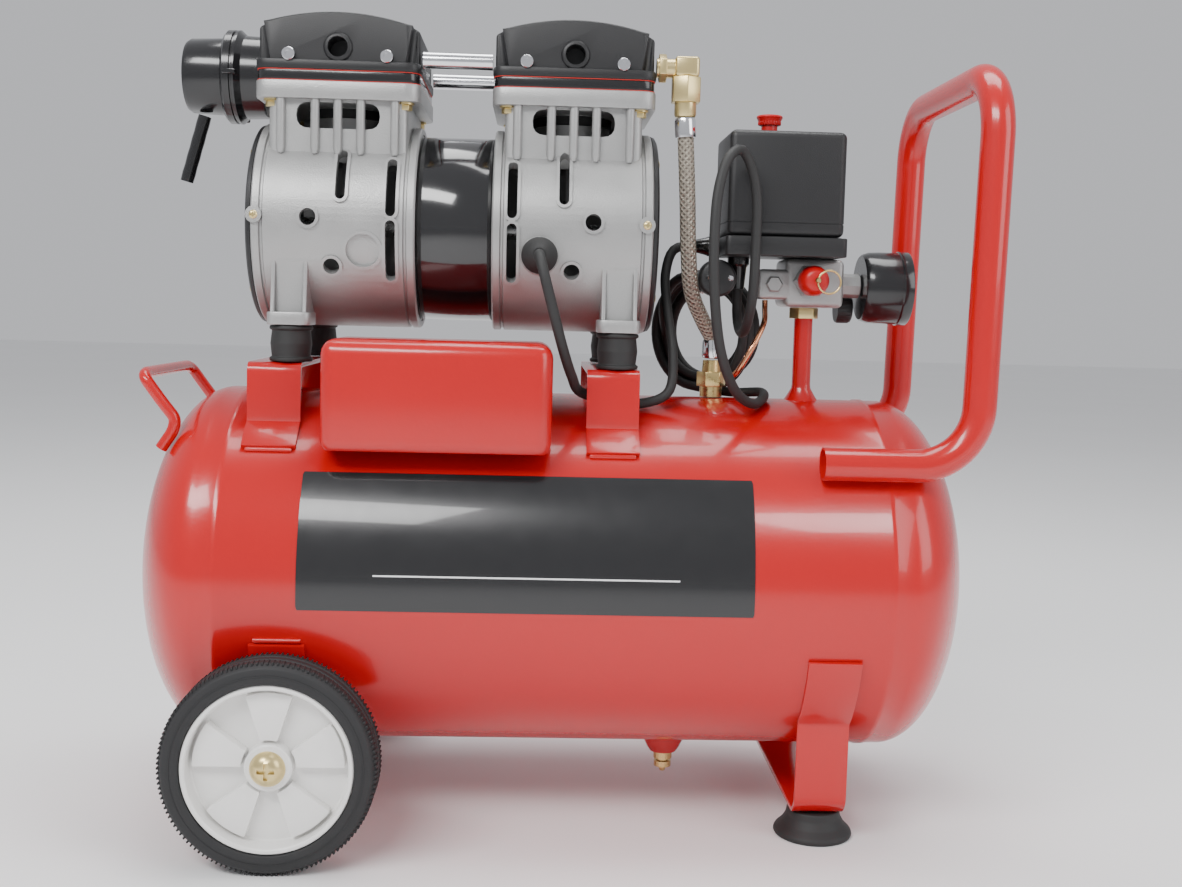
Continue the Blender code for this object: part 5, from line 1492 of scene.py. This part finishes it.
    def gauge(self, repeats: Repeats) -> None:
        """The pressure gauge: case, dial with its marks, and glass."""
        at = (0.2123, -0.0060, 0.3790)
        case = lathe([(0, 0.0170), (0.0236, 0.0170), (0.0236, 0.0322), (0.0242, 0.0330), (0.0256, 0.0330), (0.0262, 0.0322),
                      (0.0262, 0.0262), (0.0254, 0.0252), (0.0254, 0.0120), (0.0250, 0.0050), (0.0236, 0.0010),
                      (0.0225, 0.0), (0, 0.0)], at, Axis.X, 72)
        keep("gauge_case_moulded", case, GLOSS, stands_for=["gauge_case"])
        dial = lathe([(0, 0.0180), (0.0233, 0.0180), (0.0233, 0.0172), (0, 0.0172)], at, Axis.X, 64)
        keep("gauge_dial", dial, PAPER)
        marks = []
        for k in range(51):
            a = radians(225 - 270 * k / 50)
            inner = 0.0172 if k % 5 == 0 else 0.0190
            half = 0.0003 if k % 5 == 0 else 0.00014
            mark = block((-half, inner, 0.01800), (half, 0.0212, 0.01812))
            mark.transform(Matrix.Rotation(a - pi / 2, 4, "Z"))
            marks.append(mark)
        scale = together(*marks)
        scale.transform(Matrix.Translation(at) @ Matrix.Rotation(pi / 2, 4, "Y") @ Matrix.Rotation(pi / 2, 4, "Z"))
        keep("gauge_scale", scale, GLOSS)
        glass = lathe([(0, 0.0316), (0.0234, 0.0316), (0.0234, 0.0304), (0, 0.0304)], at, Axis.X, 64)
        keep("gauge_glass_disc", glass, GLASS)
        knob = lathe([(0, 0.0110), (0.0086, 0.0110), (0.0098, 0.0104), (0.0103, 0.0090), (0.0103, 0.0008), (0.0098, 0),
                      (0, 0.0)], (0, 0, 0), steps=48)
        flutes = repeats.ring(block((0.0098, -0.0005, 0.0008), (0.0105, 0.0005, 0.0092), 0.0002, 1), 24, MATT)
        keep("regulator_knob_fluted", moved(together(knob, flutes), (0.1985, 0.0080, 0.3640), Axis.X), MATT, "regulator",
             stands_for=["regulator_knob"])

    def check_valve(self, repeats: Repeats) -> None:
        """The brass check valve with hexagon and the hose's lower ferrule."""
        x, foot = 0.1090, 0.175 + 0.123 + 0.0006
        spigot = lathe([(0, 0.3246), (0.0062, 0.3246), (0.0068, 0.3160), (0, 0.3160)], (x, 0, 0), steps=36)
        neck = lathe([(0, 0.3066), (0.0080, 0.3066), (0.0080, foot), (0, foot)], (x, 0, 0), steps=36)
        hexagon = [(x + 0.0105 * cos(k * pi / 3), 0.0105 * sin(k * pi / 3)) for k in range(6)]
        nut = slab(hexagon, 0.3060, 0.3165, edge=0.0006)
        keep("check_valve_machined", together(spigot, neck, nut), BRASS, stands_for=["check_valve"])

    def build(self, repeats: Repeats) -> None:
        """Make every fitting."""
        self.capacitor(repeats)
        self.boxes(repeats)
        self.manifold(repeats)
        self.gauge(repeats)
        self.check_valve(repeats)


# ---------------------------------------------------------------- cords, hoses and leads
@dataclass
class Leads:
    """Mains cord with coil and plug, motor lead, discharge hose and unloader tube."""

    cord_radius: float = 0.0034
    hose_radius: float = 0.0055
    coil_at: Place = (0.1077, 0.0377, 0.3446)
    coil_turn: float = radians(-45)
    coil_radius: float = 0.0375
    turns: int = 5
    exit: Place = (0.1255, -0.0020, 0.3755)
    plug_at: Place = (0.1075, 0.0010, 0.3825)

    def on_coil(self, angle: float, radius: float, shift: float) -> Place:
        """A place on the coil from its angle, radius and distance along the coil's axis."""
        c, s = cos(self.coil_turn), sin(self.coil_turn)
        across = radius * cos(radians(angle))
        return (self.coil_at[0] + across * c - shift * s, self.coil_at[1] + across * s + shift * c,
                self.coil_at[2] + radius * sin(radians(angle)))

    def cord_route(self) -> list[Place]:
        """The mains cord's route from its gland, round the coil, to the plug."""
        free = [self.exit, (0.1255, -0.0020, 0.3680), (0.1255, -0.0021, 0.3605), (0.1256, -0.0090, 0.3505),
                (0.1260, -0.0270, 0.3450), (0.1265, -0.0460, 0.3520), (0.1275, -0.0590, 0.3700),
                (0.1284, -0.0600, 0.4100), (0.1276, -0.0610, 0.4380), (0.1225, -0.0640, 0.4570),
                (0.1150, -0.0700, 0.4660), (0.1060, -0.0790, 0.4600), (0.0990, -0.0870, 0.4400),
                (0.0965, -0.0910, 0.4100), (0.0980, -0.0900, 0.3700), (0.1050, -0.0800, 0.3320),
                (0.1180, -0.0640, 0.3060), (0.1330, -0.0450, 0.2970), (0.1440, -0.0220, 0.3010),
                (0.1440, -0.0040, 0.3028), (0.1375, 0.0050, 0.3020), (0.1273, 0.0148, 0.3010)]
        slots = [(0.0411, -0.0072), (0.0411, 0.0), (0.0411, 0.0072), (0.0339, 0.0036), (0.0339, -0.0036)]
        start, turned, coil = -90.0, 0.0, []
        total = 360.0 * self.turns - 268.0
        while turned <= total:
            turn = turned / 360.0
            k = min(int(turn), len(slots) - 1)
            following = slots[min(k + 1, len(slots) - 1)]
            slide = max(0.0, (turn - k - 0.80) / 0.20) if turn < len(slots) else 0.0
            radius = slots[k][0] + (following[0] - slots[k][0]) * slide
            shift = slots[k][1] + (following[1] - slots[k][1]) * slide
            coil.append(self.on_coil(start - turned, radius, shift))
            turned += 20.0
        tail = [(0.0772, 0.0435, 0.3640), (0.0805, 0.0390, 0.3755), (0.0870, 0.0330, 0.3830), (0.0960, 0.0250, 0.3850),
                (0.1040, 0.0175, 0.3835), (0.1075, 0.0105, 0.3825), (0.1075, 0.0016, 0.3825)]
        return free + coil + tail

    def cord_like(self, name: str, route: Sequence[Vector], radius: float, finish: Finish, stands_for: Sequence[str],
                  sides: int = 16) -> tuple[bpy.types.Object, list[list[float]], float]:
        """Make a round cord and measure its route.

        Args:
            name: The piece's name.
            route: Its centreline, drawn from the datum.
            radius: Its radius.
            finish: Its finish.
            stands_for: Nodes of the frame that it replaces.
            sides: Faces round it.

        Returns:
            The piece, its centreline on the floor's heights, and its length.
        """
        length = sum((b - a).length for a, b in zip(route, route[1:]))
        piece = keep(name, sweep(route, radius, sides), finish, stands_for=stands_for)
        return piece, [[p.x, p.y, p.z - DATUM] for p in route], length

    def plug(self) -> bpy.types.Object:
        """The mains plug with its two pins."""
        body = lathe([(0, 0.0330), (0.0105, 0.0330), (0.0120, 0.0322), (0.0130, 0.0300), (0.0130, 0.0200), (0.0112, 0.0150),
                      (0.0080, 0.0100), (0.0062, 0.0040), (0.0048, 0.0), (0, 0.0)], self.plug_at, Axis.BACK_Y, 56)
        pins = [lathe([(0, 0.0190), (0.0014, 0.0190), (0.0020, 0.0180), (0.0020, 0.0), (0, 0.0)],
                      (self.plug_at[0] + side * 0.0065, self.plug_at[1] - 0.0325, self.plug_at[2]), Axis.BACK_Y, 20)
                for side in (-1, 1)]
        keep("plug_pins", together(*pins), CHROME)
        return keep("mains_plug_moulded", body, MATT, stands_for=["mains_plug"])

    def build(self, repeats: Repeats) -> None:
        """Make every cord."""
        plug = self.plug()
        cord, path, length = self.cord_like("mains_cord", smooth_route(self.cord_route(), 0.0050), self.cord_radius, RUBBER,
                                            ["power_cord", "power_cord_coil", "power_cord_tail"])
        tie = sweep(smooth_route([self.on_coil(100, self.coil_radius + a, b) for a, b in
                                  ((0.0082, 0.0), (0.0078, 0.0090), (0.0, 0.0118), (-0.0078, 0.0090), (-0.0082, 0.0),
                                   (-0.0078, -0.0090), (0.0, -0.0118), (0.0078, -0.0090), (0.0082, 0.0))], 0.003)[:-1],
                    0.0010, 10, closed=True)
        keep("coil_tie", tie, WHITE)
        gland = (-0.0159, -0.0698, 0.3932)
        lead = smooth_route([(gland[0], gland[1] - 0.0160, gland[2]), (-0.0158, -0.0965, 0.3924),
                             (-0.0130, -0.1035, 0.3820), (-0.0070, -0.1030, 0.3600), (0.0000, -0.0960, 0.3350),
                             (0.0070, -0.0780, 0.3150), (0.0140, -0.0570, 0.3030), (0.0352, -0.0470, 0.2975),
                             (0.0560, -0.0440, 0.2955), (0.0740, -0.0430, 0.3030), (0.0780, -0.0300, 0.3300),
                             (0.0745, -0.0160, 0.3600), (0.0735, -0.0060, 0.3860), (0.0800, 0.0000, 0.4030),
                             (0.0943, 0.0, 0.4055)], 0.004)
        piece, path, length = self.cord_like("motor_lead_sheath", lead, self.cord_radius, RUBBER, ["motor_lead"])
        x, y, z, valve = 0.0800, -0.0430, 0.5213, 0.1090
        route = smooth_route([(x, y, z - 0.0324), (x + 0.0012, y, 0.4700), (x + 0.0036, y + 0.002, 0.4350),
                              (x + 0.0060, y + 0.008, 0.4000), (x + 0.0105, y + 0.019, 0.3720),
                              (x + 0.0205, y + 0.034, 0.3530), (valve, 0.0, 0.3385), (valve, 0.0, 0.3256)], 0.003)
        piece, path, length = self.cord_like("discharge_hose_braided", route, self.hose_radius, BRAID, ["discharge_hose"], 32)
        self.ferrules(route)
        copper = smooth_route([(0.1190, -0.0120, 0.3120), (0.1240, -0.0260, 0.3180), (0.1330, -0.0300, 0.3350),
                               (0.1420, -0.0220, 0.3520), (0.1450, -0.0060, 0.3630), (0.1450, -0.0050, 0.3684)], 0.002)
        keep("unloader_tube_bent", sweep(copper, 0.0020, 16), COPPER, stands_for=["unloader_tube"])

    def ferrules(self, route: Sequence[Vector]) -> bpy.types.Object:
        """Crimped rings at both ends of the hose."""
        made = []
        for start, after in ((route[0], route[4]), (route[-1], route[-5])):
            along = (after - start).normalized()
            turn = along.to_track_quat("Z", "Y").to_matrix().to_4x4()
            ring = lathe([(self.hose_radius + 0.0002, 0.0135), (0.0068, 0.0132), (0.0072, 0.0110), (0.0072, 0.0020),
                          (0.0066, 0.0004), (self.hose_radius + 0.0002, 0.0002)], (0, 0, 0), steps=36, closed=True)
            ring.transform(Matrix.Translation(start) @ turn)
            made.append(ring)
        return keep("hose_ferrules", together(*made), CHROME)


# ---------------------------------------------------------------- pieces that keep the frame's own shape
@dataclass
class InnerPieces:
    """Nodes of the frame whose shape is right as it is, with their finishes."""

    finishes: dict[str, Finish] = field(default_factory=lambda: {
        "rotor": STEEL, "fan_left": MATT, "fan_right": MATT, "piston_left": CAST, "piston_right": CAST,
        "start_capacitor": MATT, "drain_valve": BRASS, "drain_screw": BRASS, "outlet_coupler": BRASS,
        "gauge_needle": RED_CAP})

    def dress(self) -> None:
        """Give each of them its finish."""
        for node, finish in self.finishes.items():
            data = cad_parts[node].data
            data.materials.clear()
            data.materials.append(finish.material())


# ---------------------------------------------------------------- studio
@dataclass
class Studio:
    """Camera, floor and soft lights."""

    eye: Place = (-0.0149, -0.9621, 0.3611)
    yaw: float = 0.0406
    pitch: float = 0.0833
    roll: float = 0.0263
    lens: float = 41.03
    shift: Pair = (-0.0007, -0.0212)

    def camera(self) -> None:
        """The camera at its fitted place."""
        data = bpy.data.cameras.new("camera")
        data.lens, data.sensor_width = self.lens, 36.0
        data.shift_x, data.shift_y = self.shift
        data.clip_start, data.clip_end = 0.01, 50.0
        camera = bpy.data.objects.new("camera", data)
        bpy.context.scene.collection.objects.link(camera)
        ahead = Vector((sin(self.yaw) * cos(self.pitch), cos(self.yaw) * cos(self.pitch), -sin(self.pitch)))
        right = Vector((cos(self.yaw), -sin(self.yaw), 0))
        up = right.cross(ahead)
        right, up = right * cos(self.roll) + up * sin(self.roll), up * cos(self.roll) - right * sin(self.roll)
        turn = Matrix((right, up, -ahead)).transposed().to_4x4()
        camera.matrix_world = Matrix.Translation((self.eye[0], self.eye[1], self.eye[2] - DATUM)) @ turn
        bpy.context.scene.camera = camera

    def light(self, name: str, place: Place, aim: Place, size: Pair, power: float) -> None:
        """One soft box."""
        data = bpy.data.lights.new(name, "AREA")
        data.shape, data.size, data.size_y, data.energy = "RECTANGLE", size[0], size[1], power
        lamp = bpy.data.objects.new(name, data)
        bpy.context.scene.collection.objects.link(lamp)
        lamp.location = place
        lamp.rotation_euler = (Vector(aim) - Vector(place)).to_track_quat("-Z", "Y").to_euler()

    def build(self) -> None:
        """Floor, lights and a pale surround."""
        graph = Graph("studio_floor")
        graph.feed(graph.shader.inputs["Base Color"], graph.mix(graph.noise(2.0), rgb((0.86, 0.86, 0.86)), rgb((0.90,) * 3)))
        graph.feed(graph.shader.inputs["Roughness"], 0.7)
        data = bpy.data.meshes.new("studio_floor")
        data.from_pydata([(-9, -9, 0), (9, -9, 0), (9, 9, 0), (-9, 9, 0)], [], [(0, 1, 2, 3)])
        data.materials.append(graph.material)
        floor = bpy.data.objects.new("studio_floor", data)
        bpy.context.scene.collection.objects.link(floor)
        world = bpy.data.worlds.new("surround")
        world.use_nodes = True
        world.node_tree.nodes["Background"].inputs["Color"].default_value = (0.95, 0.96, 1.0, 1.0)
        world.node_tree.nodes["Background"].inputs["Strength"].default_value = 0.62
        bpy.context.scene.world = world
        self.light("key", (-0.9, -1.5, 1.7), (0, 0, 0.3), (1.6, 0.5), 44.0)
        self.light("fill", (1.7, -1.2, 1.1), (0, 0, 0.3), (1.1, 1.4), 16.0)
        self.light("top", (0.1, 0.2, 2.2), (0, 0, 0.3), (1.8, 0.8), 34.0)


def main() -> None:
    """Build the studio, the cords and every sub-assembly in order."""
    logging.basicConfig(level=logging.INFO, format="%(message)s")
    studio = Studio()
    studio.camera()
    repeats = Repeats()
    Leads().build(repeats)
    tank = Tank()
    parts = [tank, Brackets(tank), Handles(tank), Wheel("front", -1), Wheel("rear", 1), PumpHalf("left", -1),
             PumpHalf("right", 1), Pump(), Switch()]
    for part in parts:
        part.build(repeats)
        LOG.info("built %s", type(part).__name__)
    InnerPieces().dress()
    studio.build()


if __name__ == "__main__":
    main()
